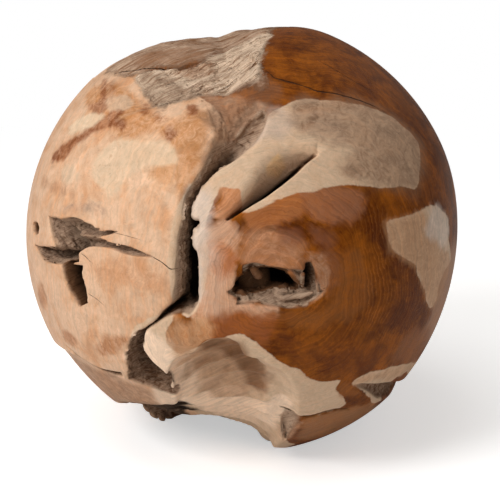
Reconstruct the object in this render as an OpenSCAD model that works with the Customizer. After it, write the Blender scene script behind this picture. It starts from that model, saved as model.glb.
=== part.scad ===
// Root ball: one block of teak root, ground to a ball around the hollows that grew in it.
// Millimetres, +Z up. The origin is on the floor, under the middle of the ball.
// Places on the ball are [lon, lat] in degrees: lon 0 faces the front (-Y), lon 90 the right (+X).

/* [Ball] */
// Diameter of the ball
ball_d = 400; // [370:5:430]
// How much of the ball's lowest part is cut away to give it a level foot
base_cut = 16.4; // [10:0.2:22]
// How deep the flatter patch on the right side is ground
side_flat = 5; // [1:0.5:8]
// Radius of curvature of that patch
side_flat_r = 230; // [220:5:260]

/* [Top hollow] */
// Depth of the weathered hollow that runs over the top
top_depth = 19; // [12:1:26]
// Reach of its gentle slope on the left
top_left = 112; // [96:2:124]
// Reach of its slope on the right
top_right = 88; // [76:2:98]
// Width of the throat that leads down from it into the crevice
throat_w = 50; // [40:1:58]
// Depth of the throat
throat_depth = 17; // [10:1:24]
// Width of the torn tray on the hollow's front left slope
tray_w = 52; // [44:2:60]
// Depth of the tray's floor where it is deepest
tray_depth = 21; // [17:1:26]
// Width of the long splits that follow the grain of the tray
split_w = 4.4; // [3:0.2:7]
// Depth of those splits
split_depth = 27; // [23:1:32]

/* [Crevice] */
// Width of the long crevice between the two root lobes
crevice_w = 20; // [14:1:26]
// Depth of the crevice
crevice_depth = 58; // [40:1:70]
// Width of the narrow crack that carries on from its lower end
crack_w = 5; // [3:0.5:8]
// Depth of that crack
crack_depth = 30; // [18:1:36]

/* [Curled slit] */
// How wide the upper lip rolls down into the slit
slit_roll = 19; // [12:1:24]
// Width of the slit below its deepest line
slit_w = 4; // [2:0.5:6]
// Depth of the slit
slit_depth = 26; // [16:1:34]

/* [Left cavities] */
// Width of the trunk of the star-shaped cavity
star_w = 26; // [20:1:32]
// Width of its arms
arm_w = 13; // [9:0.5:17]
// Depth of the star-shaped cavity
star_depth = 27; // [18:1:34]
// Width of the four-sided hole below it
square_w = 25; // [18:1:30]
// Depth of the four-sided hole
square_depth = 44; // [30:1:55]
// Width of the small round hole at the far left
small_w = 15; // [9:1:18]
// Depth of the small hole
small_depth = 20; // [12:1:28]

/* [Knot hole] */
// Height of the knot hole in the middle of the front
knot_h = 36; // [28:1:40]
// Depth of the ledge inside its mouth
knot_ledge = 15; // [9:1:20]
// Depth of its core
knot_depth = 60; // [45:1:70]
// Width of the upright slot at its right end
slot_w = 9.5; // [7:0.5:11]

/* [Scoop] */
// Width of the smooth scoop low on the front
scoop_w = 100; // [86:1:110]
// Depth of the scoop
scoop_depth = 36; // [28:1:42]
// Width of the flatter apron along the scoop's right side
apron_w = 62; // [50:1:70]
// Depth of the apron
apron_depth = 17; // [10:1:22]
// Greatest width of the three-cornered recess at the scoop's left
recess_w = 60; // [50:1:66]
// Depth of that recess
recess_depth = 27; // [20:1:34]

/* [Underside] */
// How far the front left lobe below the crease sits back from the ball
lobe_set_back = 7; // [4:0.5:10]
// How far that lobe reaches up from its middle line to the crease
lobe_rise = 62; // [56:1:66]
// How far the undercut reaches up the front left lobe from its deepest line
undercut_rise = 70; // [58:1:76]
// Depth of the undercut
undercut_depth = 30; // [20:1:36]
// Length of the hollow in the foot, from left to right
foot_hollow_w = 110; // [96:2:116]
// How high that hollow rises over the floor
foot_hollow_h = 30; // [22:1:40]
// Width of the stub of torn fibres that stands at the hollow's left end
stub_w = 24; // [18:1:26]
// Thickness of one fibre bundle in the stub
fibre_d = 7; // [5:0.5:9]

/* [Lower lip] */
// Width of the crack along the lower lip
lip_w = 4; // [2:0.5:6]
// Depth of that crack
lip_depth = 13; // [8:1:18]
// Width of the pocket at the crack's left end
pocket_w = 26; // [20:1:32]
// Depth of the pocket
pocket_depth = 13; // [8:1:18]
// Width of the notch that runs round the right side above that lip
notch_w = 21; // [15:1:25]
// Depth of the notch
notch_depth = 12; // [8:1:16]

/* [Hidden] */

r = ball_d / 2;
middle_h = r - base_cut;
foot_r = sqrt(r * r - middle_h * middle_h);
flat_way = toward(85, -14);
// Shift that puts the origin midway between the ball's left and right ends
shift_x = max(0, r - side_flat_r + flat_way[0] * (side_flat_r - r + side_flat)) / 2;

// Powers of a superellipse that give a hollow's section: a plain slope, a wedge, a bowl and a box
slope = 1.05;
wedge = 1.2;
bowl = 2;
box = 3.5;
// Sides of a section, rings from one station to the next, and faces round the ball
section_sides = 8;
ring_steps = 2;
ball_faces = 70;
// How far a cutter stands out of the ball, and where its section starts over the surface
proud = 14;
lift = 0.6;

// Stations along the hollows: [lon, lat, share of the left reach, of the right reach, of the depth]
TOP_LINE = [
    [-7, 49.5, 0.2, 0.22, 0.3], [-8, 54.5, 0.6, 0.5, 0.6], [-10, 60, 0.82, 0.48, 0.82],
    [-13, 67, 0.95, 0.46, 0.95], [-22, 76, 1, 0.6, 1], [-60, 83, 1, 0.8, 1],
    [-135, 80, 1, 1, 1], [-158, 71, 1, 1, 1], [-166, 60, 0.8, 0.85, 0.7],
    [-170, 50, 0.5, 0.55, 0.35], [-172, 43, 0.15, 0.2, 0.1]
];
TRAY_LINE = [
    [-48, 51.8, 0.9, 0.9, 0.42], [-41, 55.5, 1, 1, 0.62], [-34, 60, 1, 1, 0.86],
    [-26, 65, 0.95, 1, 0.97], [-14, 70, 0.8, 0.9, 1], [6, 73, 0.4, 0.5, 0.75]
];
SPLIT_UPPER = [
    [-64, 57.5, 0.4, 0.4, 0.3], [-54, 62, 0.9, 0.9, 0.62], [-46, 66.5, 1, 1, 0.85],
    [-40, 71, 1.6, 1.5, 1], [-44, 75, 0.5, 0.5, 0.9]
];
SPLIT_MIDDLE = [
    [-44, 56.5, 0.5, 0.5, 0.6], [-36, 62, 1, 1, 0.85], [-26, 67.5, 1.1, 1.1, 1],
    [-10, 72, 0.5, 0.5, 0.8]
];
SPLIT_LOWER = [
    [-36, 53, 0.5, 0.5, 0.5], [-28, 58.5, 1, 1, 0.8], [-18, 64, 1.1, 1.1, 0.9],
    [-4, 68.5, 0.9, 0.9, 0.8], [8, 70.5, 0.4, 0.4, 0.5]
];
SPLIT_FRONT = [
    [-20, 56, 0.5, 0.5, 0.5], [-9, 61, 1, 1, 0.7], [2, 65, 1, 1, 0.55], [13, 67.5, 0.5, 0.5, 0.3]
];
THROAT_LINE = [
    [-8, 55, 1, 0.9, 0.5], [-5, 50.5, 1, 1, 0.75], [-2.5, 46.5, 0.9, 0.8, 0.95],
    [-2.5, 42.5, 0.7, 0.75, 1], [-5, 39, 0.4, 0.5, 0.8]
];
CREVICE_LINE = [
    [8, 49.5, 0.3, 0.4, 0.2], [5, 46, 0.5, 1, 0.35], [-0.5, 42.5, 1, 1.1, 0.45],
    [-5.5, 38.5, 1.2, 1.2, 0.55], [-9.7, 33.5, 0.5, 0.6, 0.75], [-13.4, 28, 0.4, 0.5, 0.95],
    [-14.6, 24, 0.4, 0.45, 1], [-14, 20, 0.8, 0.76, 1], [-14.7, 16.5, 0.6, 0.7, 1],
    [-14.2, 11, 1, 0.95, 1], [-13.8, 5.5, 0.98, 0.95, 1], [-14.4, 1.5, 1.15, 1, 1],
    [-15.5, -2, 0.8, 0.8, 0.8]
];
CRACK_LINE = [
    [-15, -0.5, 2.2, 2.2, 1.3], [-19, -2.8, 1.2, 1.4, 1.1], [-22, -5.5, 0.8, 0.8, 1],
    [-26, -9, 0.8, 0.8, 1], [-27, -12, 1, 1, 0.8]
];
SLIT_LINE = [
    [-3.5, 21.3, 0.15, 0.3, 0.2], [0.5, 24.6, 0.3, 0.8, 0.7], [5, 27.2, 0.65, 1, 1],
    [10.3, 30.3, 1, 1, 1], [15, 33.1, 0.95, 1, 0.9], [19, 35.3, 0.6, 0.8, 0.65],
    [23.3, 36.6, 0.15, 0.4, 0.2]
];
STAR_TRUNK = [
    [-62, 13.2, 0.1, 0.1, 0.3], [-57, 11, 0.95, 0.8, 0.8], [-52.5, 9, 1.35, 1, 1],
    [-51, 6, 1.3, 0.8, 1], [-49.5, 4, 0.8, 0.6, 0.8]
];
STAR_POCKET = [
    [-69, 3.6, 0.2, 0.2, 0.4], [-63, 3.3, 1.05, 0.95, 0.85], [-57, 4.4, 1.2, 1.1, 1],
    [-51, 5.6, 1.1, 1, 1], [-46, 6.6, 0.6, 0.6, 0.7]
];
STAR_UPPER_ARM = [
    [-55, 13, 0.6, 1.2, 0.6], [-49.5, 14.2, 1.1, 1.2, 0.75], [-44, 14.2, 0.8, 0.9, 0.6],
    [-39, 14.6, 0.4, 0.55, 0.45], [-34, 15.4, 0.12, 0.12, 0.15]
];
STAR_LOWER_ARM = [
    [-49, 9, 1.3, 1.2, 0.9], [-43.5, 11, 0.9, 0.8, 0.6], [-39, 11.8, 0.6, 0.55, 0.5],
    [-34.5, 11.8, 0.5, 0.5, 0.45], [-29, 11.4, 0.55, 0.6, 0.4], [-23, 10.8, 0.12, 0.12, 0.12]
];
SQUARE_HOLE = [
    [-48.7, 4.2, 1.25, 1.3, 0.7], [-48, 1, 1.05, 1.05, 1], [-46.2, -2, 0.98, 0.95, 1],
    [-44.3, -5.4, 0.65, 0.65, 0.8]
];
SMALL_HOLE = [
    [-71.7, 7.8, 0.5, 0.5, 0.8], [-70, 7.8, 0.72, 0.72, 1], [-68.2, 7.8, 0.5, 0.5, 0.8]
];
KNOT_MOUTH = [
    [-3.7, 3.4, 0.1, 0.1, 0.6], [-1.2, 4.6, 0.15, 0.8, 0.9], [-0.3, 4.6, 1, 0.8, 1],
    [3, 4.6, 1.25, 0.8, 1], [6, 4.5, 1.1, 0.85, 1], [10.5, 4.2, 0.95, 1, 1],
    [15.5, 3.8, 0.8, 1, 1], [18, 3.4, 0.4, 0.6, 0.9], [20.2, 3, 0.1, 0.1, 0.5]
];
KNOT_CORE = [
    [-2.5, 3.8, 0.2, 0.2, 0.5], [1, 5.4, 0.7, 0.65, 0.55], [4.5, 6, 0.7, 0.6, 0.8],
    [8, 6.3, 0.62, 0.5, 1], [11, 5.2, 0.5, 0.35, 1], [14.2, 3.6, 0.15, 0.15, 0.7]
];
KNOT_SLOT = [
    [16.4, 10.2, 0.6, 0.6, 0.5], [16.7, 8, 1, 1, 0.85], [16.7, 5, 1, 1, 0.85],
    [16.4, 3, 0.8, 0.8, 0.6]
];
SCOOP_LINE = [
    [-2.5, -9.2, 0.1, 0.1, 0.15], [-4, -12, 0.34, 0.42, 0.42], [-4.5, -15, 0.58, 0.6, 0.7],
    [-5, -18.5, 0.82, 0.94, 0.9], [-5, -23, 0.95, 1.02, 1], [-6, -29, 1, 0.84, 1],
    [-8, -38, 1.05, 0.8, 1], [-12, -49, 1.1, 0.9, 0.97], [-18, -60, 1.1, 1, 0.95],
    [-26, -70, 1, 1, 0.9]
];
APRON_LINE = [
    [4, -15, 0.12, 0.3, 0.15], [4.5, -19, 0.45, 0.6, 0.6], [7, -25, 0.65, 0.9, 0.95],
    [8, -33, 0.78, 1, 1], [7, -42, 0.85, 1, 1], [3, -52, 0.8, 1, 1], [-4, -62, 0.7, 1, 1]
];
RECESS_LINE = [
    [-26.5, -8.8, 0.05, 0.05, 0.4], [-27.5, -13.5, 0.1, 0.38, 0.9], [-27, -18, 0.29, 0.68, 1],
    [-26, -22, 0.62, 1, 1], [-26.6, -24.6, 0.88, 1.1, 0.9], [-27.3, -27.2, 1.12, 1.16, 0.7]
];
LOBE_CREASE = [
    [-58, -22, 0.3, 0.3, 0.3], [-52.5, -24, 0.8, 0.8, 0.5], [-46, -25.3, 0.6, 0.6, 0.4],
    [-40.5, -24.9, 0.8, 0.8, 0.5], [-36, -24.4, 0.9, 0.9, 0.6]
];
LOBE_LINE = [
    [-96, -46, 0.3, 0.5, 0.2], [-80, -43, 0.8, 0.9, 0.8], [-60, -42, 1, 1, 1],
    [-42, -43, 1, 1, 1], [-26, -46, 1, 1, 0.9], [-14, -50, 0.7, 0.7, 0.5]
];
UNDERCUT_LINE = [
    [-124, -60, 0.1, 0.15, 0.1], [-100, -61, 0.36, 0.55, 0.45], [-78, -62, 0.54, 0.8, 0.7],
    [-56, -62, 0.74, 1, 0.9], [-36, -57, 0.86, 1, 1], [-18, -54, 0.94, 1, 1], [-2, -55, 0.6, 0.8, 0.8]
];
LIP_LINE = [
    [13, -37, 0.8, 0.8, 0.8], [18, -37, 1, 1, 1], [22, -37.3, 1.2, 1.2, 1],
    [26.5, -36.4, 1.1, 1.1, 1], [31, -36.4, 0.8, 0.8, 0.8], [37, -38, 0.4, 0.4, 0.4]
];
POCKET_LINE = [
    [15.5, -37.2, 0.9, 0.75, 0.7], [15, -41, 1, 0.9, 1], [16, -46, 0.55, 0.7, 1],
    [17.5, -50.5, 0.12, 0.15, 0.5]
];
NOTCH_LINE = [
    [33.5, -27.4, 0.15, 0.2, 0.15], [39, -29.6, 0.45, 0.5, 0.55], [45.5, -32.6, 0.75, 0.8, 0.85],
    [52, -35.6, 1, 1, 1], [60, -38.2, 1, 1, 1], [70, -40.6, 0.9, 0.9, 0.9],
    [80, -42, 0.55, 0.55, 0.5], [89, -42.6, 0.15, 0.15, 0.15]
];
// The stub's fibre bundles: [share of its width to the right, to the back, share of the fibre]
STUB_FIBRES = [
    [-0.45, -0.1, 0.9], [-0.3, 0.25, 1], [-0.2, -0.4, 1], [0, 0, 1.1], [0.05, 0.4, 1],
    [0.1, -0.45, 0.9], [0.3, 0.2, 1], [0.35, -0.2, 1.1], [0.5, 0.05, 0.8]
];

// Unit vector from the middle of the ball towards a place on it
function toward(lon, lat) = [cos(lat) * sin(lon), -cos(lat) * cos(lon), sin(lat)];

function unit(v) = v / norm(v);

// Value on a smooth curve through b and c, at share t of the way between them
function between(a, b, c, d, t) =
    b + t / 2 * (c - a + t * (2 * a - 5 * b + 4 * c - d + t * (3 * (b - c) + d - a)));

// Station as one row of numbers: its direction, then its shares
function row(s) = concat(toward(s[0], s[1]), [s[2], s[3], s[4]]);

// Rows along a hollow, with ring_steps rings from each station to the next
function rows(line) =
    let (last = len(line) - 1)
    [
        for (i = [0:last - 1])
            for (k = [0:ring_steps - 1])
                between(
                    row(line[max(i - 1, 0)]), row(line[i]),
                    row(line[i + 1]), row(line[min(i + 2, last)]), k / ring_steps
                ),
        row(line[last])
    ];

function direction(row) = unit([row[0], row[1], row[2]]);

// Share of a reach or depth, kept above nothing at all
function share(row, i) = max(row[i], 0.04);

// Section of a hollow: [distance across, height over the ball], from its left side to its right.
// The last point is a roof that keeps a wide cutter clear of the ball's bulge.
function section(left, right, depth, shape) = [
    [-left, proud],
    for (j = [0:section_sides])
        let (
            a = 180 * j / section_sides,
            across = pow(abs(cos(a)), 2 / shape),
            down = pow(sin(a), 2 / shape)
        )
        [(j * 2 < section_sides ? -left : right) * across, lift - depth * down],
    [right, proud],
    [(right - left) / 2, 2.5 * proud]
];

// Point of a section, bent to the ball's curve
function on_ball(n, side, p) =
    let (turn = p[0] / r * 180 / PI)
    (r + p[1]) * (n * cos(turn) + side * sin(turn));

// Swept cutter along a line of stations; left and right are as seen when walking along it
module hollow(line, left, right, depth, shape = bowl) {
    path = rows(line);
    last = len(path) - 1;
    sides = section_sides + 4;
    points = [
        for (i = [0:last])
            let (
                s = path[i],
                n = direction(s),
                ahead = direction(path[min(i + 1, last)]) - direction(path[max(i - 1, 0)]),
                side = unit(cross(ahead, n))
            )
            for (p = section(left * share(s, 3), right * share(s, 4), depth * share(s, 5), shape))
                on_ball(n, side, p)
    ];
    walls = [
        for (i = [0:last - 1])
            for (k = [0:sides - 1])
                let (a = i * sides + k, b = i * sides + (k + 1) % sides)
                each [[a, b, b + sides], [a, b + sides, a + sides]]
    ];
    start_cap = [for (k = [1:sides - 2]) [0, k + 1, k]];
    end_cap = [for (k = [1:sides - 2]) [last * sides, last * sides + k, last * sides + k + 1]];
    polyhedron(points = points, faces = concat(walls, start_cap, end_cap));
}

// The ball as ground, with its flatter patch on the right
module ground_ball() {
    intersection() {
        sphere(r = r, $fn = ball_faces);
        translate(-flat_way * (side_flat_r - r + side_flat))
            sphere(r = side_flat_r, $fn = ball_faces);
    }
}

module top_hollow() {
    hollow(TOP_LINE, top_left, top_right, top_depth, slope);
    hollow(TRAY_LINE, tray_w / 2, tray_w / 2, tray_depth, box);
    for (line = [SPLIT_UPPER, SPLIT_MIDDLE, SPLIT_LOWER, SPLIT_FRONT])
        hollow(line, split_w / 2, split_w / 2, split_depth);
    hollow(THROAT_LINE, throat_w / 2, throat_w / 2, throat_depth);
}

module crevice() {
    hollow(CREVICE_LINE, crevice_w / 2, crevice_w / 2, crevice_depth);
    hollow(CRACK_LINE, crack_w / 2, crack_w / 2, crack_depth);
}

module curled_slit() {
    hollow(SLIT_LINE, slit_roll, slit_w, slit_depth, wedge);
}

module star_cavity() {
    hollow(STAR_TRUNK, star_w / 2, star_w / 2, star_depth);
    hollow(STAR_POCKET, arm_w / 2, arm_w / 2, star_depth);
    hollow(STAR_UPPER_ARM, arm_w / 2, arm_w / 2, star_depth);
    hollow(STAR_LOWER_ARM, arm_w / 2, arm_w / 2, star_depth);
}

module small_holes() {
    hollow(SQUARE_HOLE, square_w / 2, square_w / 2, square_depth, box);
    hollow(SMALL_HOLE, small_w / 2, small_w / 2, small_depth);
}

module knot_hole() {
    hollow(KNOT_MOUTH, knot_h / 2, knot_h / 2, knot_ledge, box);
    hollow(KNOT_CORE, knot_h / 2, knot_h / 2, knot_depth);
    hollow(KNOT_SLOT, slot_w / 2, slot_w / 2, knot_depth);
}

module scoop() {
    hollow(SCOOP_LINE, scoop_w / 2, scoop_w / 2, scoop_depth);
    hollow(APRON_LINE, apron_w / 2, apron_w / 2, apron_depth);
    hollow(RECESS_LINE, recess_w / 2, recess_w / 2, recess_depth);
}

module underside() {
    hollow(LOBE_CREASE, crack_w / 2, crack_w / 2, recess_depth);
    hollow(LOBE_LINE, lobe_rise, lobe_rise, lobe_set_back, box);
    hollow(UNDERCUT_LINE, undercut_rise, foot_r / 2, undercut_depth);
    translate([-foot_r * 0.3, -foot_r * 0.45, -middle_h])
        scale([1, 1.15, 2 * foot_hollow_h / foot_hollow_w])
            sphere(d = foot_hollow_w, $fn = 32);
}

module lip_hollows() {
    hollow(LIP_LINE, lip_w / 2, lip_w / 2, lip_depth, wedge);
    hollow(POCKET_LINE, pocket_w / 2, pocket_w / 2, pocket_depth, wedge);
    hollow(NOTCH_LINE, notch_w / 2, notch_w / 2, notch_depth);
}

// Bundle of torn root fibres that reaches down to the floor
module stub_foot() {
    for (f = STUB_FIBRES)
        hull() {
            translate([stub_w * f[0], stub_w * f[1], 0])
                cylinder(d = fibre_d * f[2], h = 1, $fn = 8);
            translate([stub_w * (f[0] - 0.3), stub_w * f[1], foot_hollow_h * 1.4])
                cylinder(d = fibre_d * f[2] * 1.5, h = 1, $fn = 8);
        }
}

module root_ball() {
    color("#bf8f61")
    translate([shift_x, 0, middle_h]) {
        difference() {
            ground_ball();
            top_hollow();
            crevice();
            curled_slit();
            star_cavity();
            small_holes();
            knot_hole();
            scoop();
            underside();
            lip_hollows();
            translate([-r, -r, -middle_h - r]) cube([2 * r, 2 * r, r]);
        }
        intersection() {
            translate([-foot_r, foot_r / 8, -middle_h]) stub_foot();
            ground_ball();
        }
    }
}

root_ball();
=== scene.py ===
"""Looks of the root ball: one block of teak root, ground to a ball around the hollows that grew in it.

The ball is built as a distance field in millimetres around its own middle: a ground sphere with every
hollow cut out of it, rolled rims and torn wood on the raw walls. The field is turned into one mesh, and
the fields that colour it (heartwood and sapwood, growth rings, weathering, checks) are worked out at each
vertex for one procedural wood material.
Places on the ball are (lon, lat) in degrees: lon 0 faces the front (-Y), lon 90 the right (+X).
"""

from __future__ import annotations

import logging
import math
from dataclasses import dataclass
from enum import Enum

import bmesh
import bpy
import numpy as np
from mathutils import Matrix, Vector

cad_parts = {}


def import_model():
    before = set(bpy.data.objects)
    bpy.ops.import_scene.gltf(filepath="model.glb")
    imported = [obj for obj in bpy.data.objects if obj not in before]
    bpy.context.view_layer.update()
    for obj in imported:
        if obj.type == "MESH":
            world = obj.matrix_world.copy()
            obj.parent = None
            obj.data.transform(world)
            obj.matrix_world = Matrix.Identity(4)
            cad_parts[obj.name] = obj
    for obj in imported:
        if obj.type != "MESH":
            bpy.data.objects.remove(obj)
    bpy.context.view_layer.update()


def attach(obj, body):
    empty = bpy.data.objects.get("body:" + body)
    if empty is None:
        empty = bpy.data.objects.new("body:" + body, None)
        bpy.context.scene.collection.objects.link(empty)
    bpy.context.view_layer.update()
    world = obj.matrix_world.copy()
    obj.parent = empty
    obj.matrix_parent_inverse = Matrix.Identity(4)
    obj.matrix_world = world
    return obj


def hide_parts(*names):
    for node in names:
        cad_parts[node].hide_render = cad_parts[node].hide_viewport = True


log = logging.getLogger("root_ball")

MM = 0.001
BALL_R = 200.0
BASE_CUT = 16.4
MIDDLE_H = BALL_R - BASE_CUT
FOOT_R = math.sqrt(BALL_R**2 - MIDDLE_H**2)
SIDE_FLAT = 5.0
SIDE_FLAT_R = 230.0
GROUND_R = BALL_R - 0.35
LIFT = 0.6
FAR = 60.0


def toward(lon: float | np.ndarray, lat: float | np.ndarray) -> np.ndarray:
    """Unit vectors from the middle of the ball towards places on it.

    Args:
        lon: degrees to the right of the front.
        lat: degrees above the middle.

    Returns:
        One vector, or an array of them in rows.
    """
    lo, la = np.radians(lon), np.radians(lat)
    return np.stack([np.cos(la) * np.sin(lo), -np.cos(la) * np.cos(lo), np.sin(la)], -1)


FLAT_WAY = toward(85.0, -14.0)
SHIFT_X = (BALL_R - SIDE_FLAT_R + FLAT_WAY[0] * (SIDE_FLAT_R - BALL_R + SIDE_FLAT)) / 2
CENTRE = np.array([SHIFT_X, 0.0, MIDDLE_H])


def soft_max(a: np.ndarray, b: np.ndarray, k: float | np.ndarray) -> np.ndarray:
    """The larger of a and b, with the corner between them rounded over a width of k."""
    h = np.maximum(k - np.abs(a - b), 0.0) / k
    return np.maximum(a, b) + h * h * k * 0.25


def soft_min(a: np.ndarray, b: np.ndarray, k: float | np.ndarray) -> np.ndarray:
    """The smaller of a and b, with the corner between them filled over a width of k."""
    return -soft_max(-a, -b, k)


def ramp(x: np.ndarray, low: float, high: float) -> np.ndarray:
    """0 below low, 1 above high and a smooth step between."""
    t = np.clip((x - low) / (high - low), 0.0, 1.0)
    return t * t * (3.0 - 2.0 * t)


class Noise:
    """Smooth noise in space from one seeded table, the same in every run."""

    SIZE = 64

    def __init__(self, seed: int = 7) -> None:
        """Draw the table of random numbers."""
        self.table = np.random.default_rng(seed).uniform(-1.0, 1.0, self.SIZE**3).astype(np.float32)

    def __call__(self, p: np.ndarray, shift: float = 0.0) -> np.ndarray:
        """Noise from -1 to 1 at points whose unit is one blob of noise.

        Args:
            p: points in rows.
            shift: moves the noise, so that two calls differ.
        """
        q = p + shift * 7.31
        base = np.floor(q)
        f = (q - base).astype(np.float32)
        f = f * f * (3.0 - 2.0 * f)
        i = base.astype(np.int64) % self.SIZE
        j = (i + 1) % self.SIZE
        n = self.SIZE
        x0, x1 = i[:, 0] * n * n, j[:, 0] * n * n
        y0, y1 = i[:, 1] * n, j[:, 1] * n
        z0, z1 = i[:, 2], j[:, 2]
        t, fx, fy, fz = self.table, f[:, 0], f[:, 1], f[:, 2]
        a = t[x0 + y0 + z0] * (1 - fx) + t[x1 + y0 + z0] * fx
        b = t[x0 + y1 + z0] * (1 - fx) + t[x1 + y1 + z0] * fx
        c = t[x0 + y0 + z1] * (1 - fx) + t[x1 + y0 + z1] * fx
        d = t[x0 + y1 + z1] * (1 - fx) + t[x1 + y1 + z1] * fx
        return (a * (1 - fy) + b * fy) * (1 - fz) + (c * (1 - fy) + d * fy) * fz

    def fractal(self, p: np.ndarray, octaves: int = 3, shift: float = 0.0) -> np.ndarray:
        """Several octaves of noise, about -1 to 1."""
        total, size = np.zeros(len(p), np.float32), 1.0
        for k in range(octaves):
            total += size * self(p * 2.03**k, shift + 3.7 * k)
            size *= 0.5
        return total / (2.0 - 2.0 * 0.5**octaves)

    def ridged(self, p: np.ndarray, octaves: int = 3, shift: float = 0.0) -> np.ndarray:
        """Sharp valleys between round ridges, 0 in a valley and up to 1 on a ridge."""
        total, size = np.zeros(len(p), np.float32), 1.0
        for k in range(octaves):
            total += size * np.abs(self(p * 2.03**k, shift + 5.1 * k))
            size *= 0.5
        return total / (1.0 - 0.5**octaves)


class Section(Enum):
    """Power of the superellipse that gives a hollow's section."""

    SLOPE = 1.05
    WEDGE = 1.2
    BOWL = 2.0
    RECESS = 2.3
    SCOOP = 2.4
    BOX = 3.5


@dataclass(frozen=True)
class Wall:
    """How the wall of a hollow is finished.

    rim_left and rim_right say how widely its two edges roll over, in mm. wander is how far its outline
    strays. relief is the height of the torn wood on it, and grain the length of one blob of that relief
    along the hollow, across it and into the depth. lean slants that grain. raw is how unfinished the wall
    looks, from 0, ground and oiled, to 1, torn and dark, and pale how light a torn wall is. pale also sets
    how deep the painted shade begins that turns raw walls near black: the lower it is, the nearer the rim.
    flute is the height of rounded ridges along that grain.
    """

    rim_left: float = 2.0
    rim_right: float = 2.0
    wander: float = 1.2
    relief: float = 1.0
    grain: tuple[float, float, float] = (26.0, 5.0, 9.0)
    raw: float = 1.0
    lean: float = 0.0
    pale: float = 0.3
    flute: float = 0.0


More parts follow.
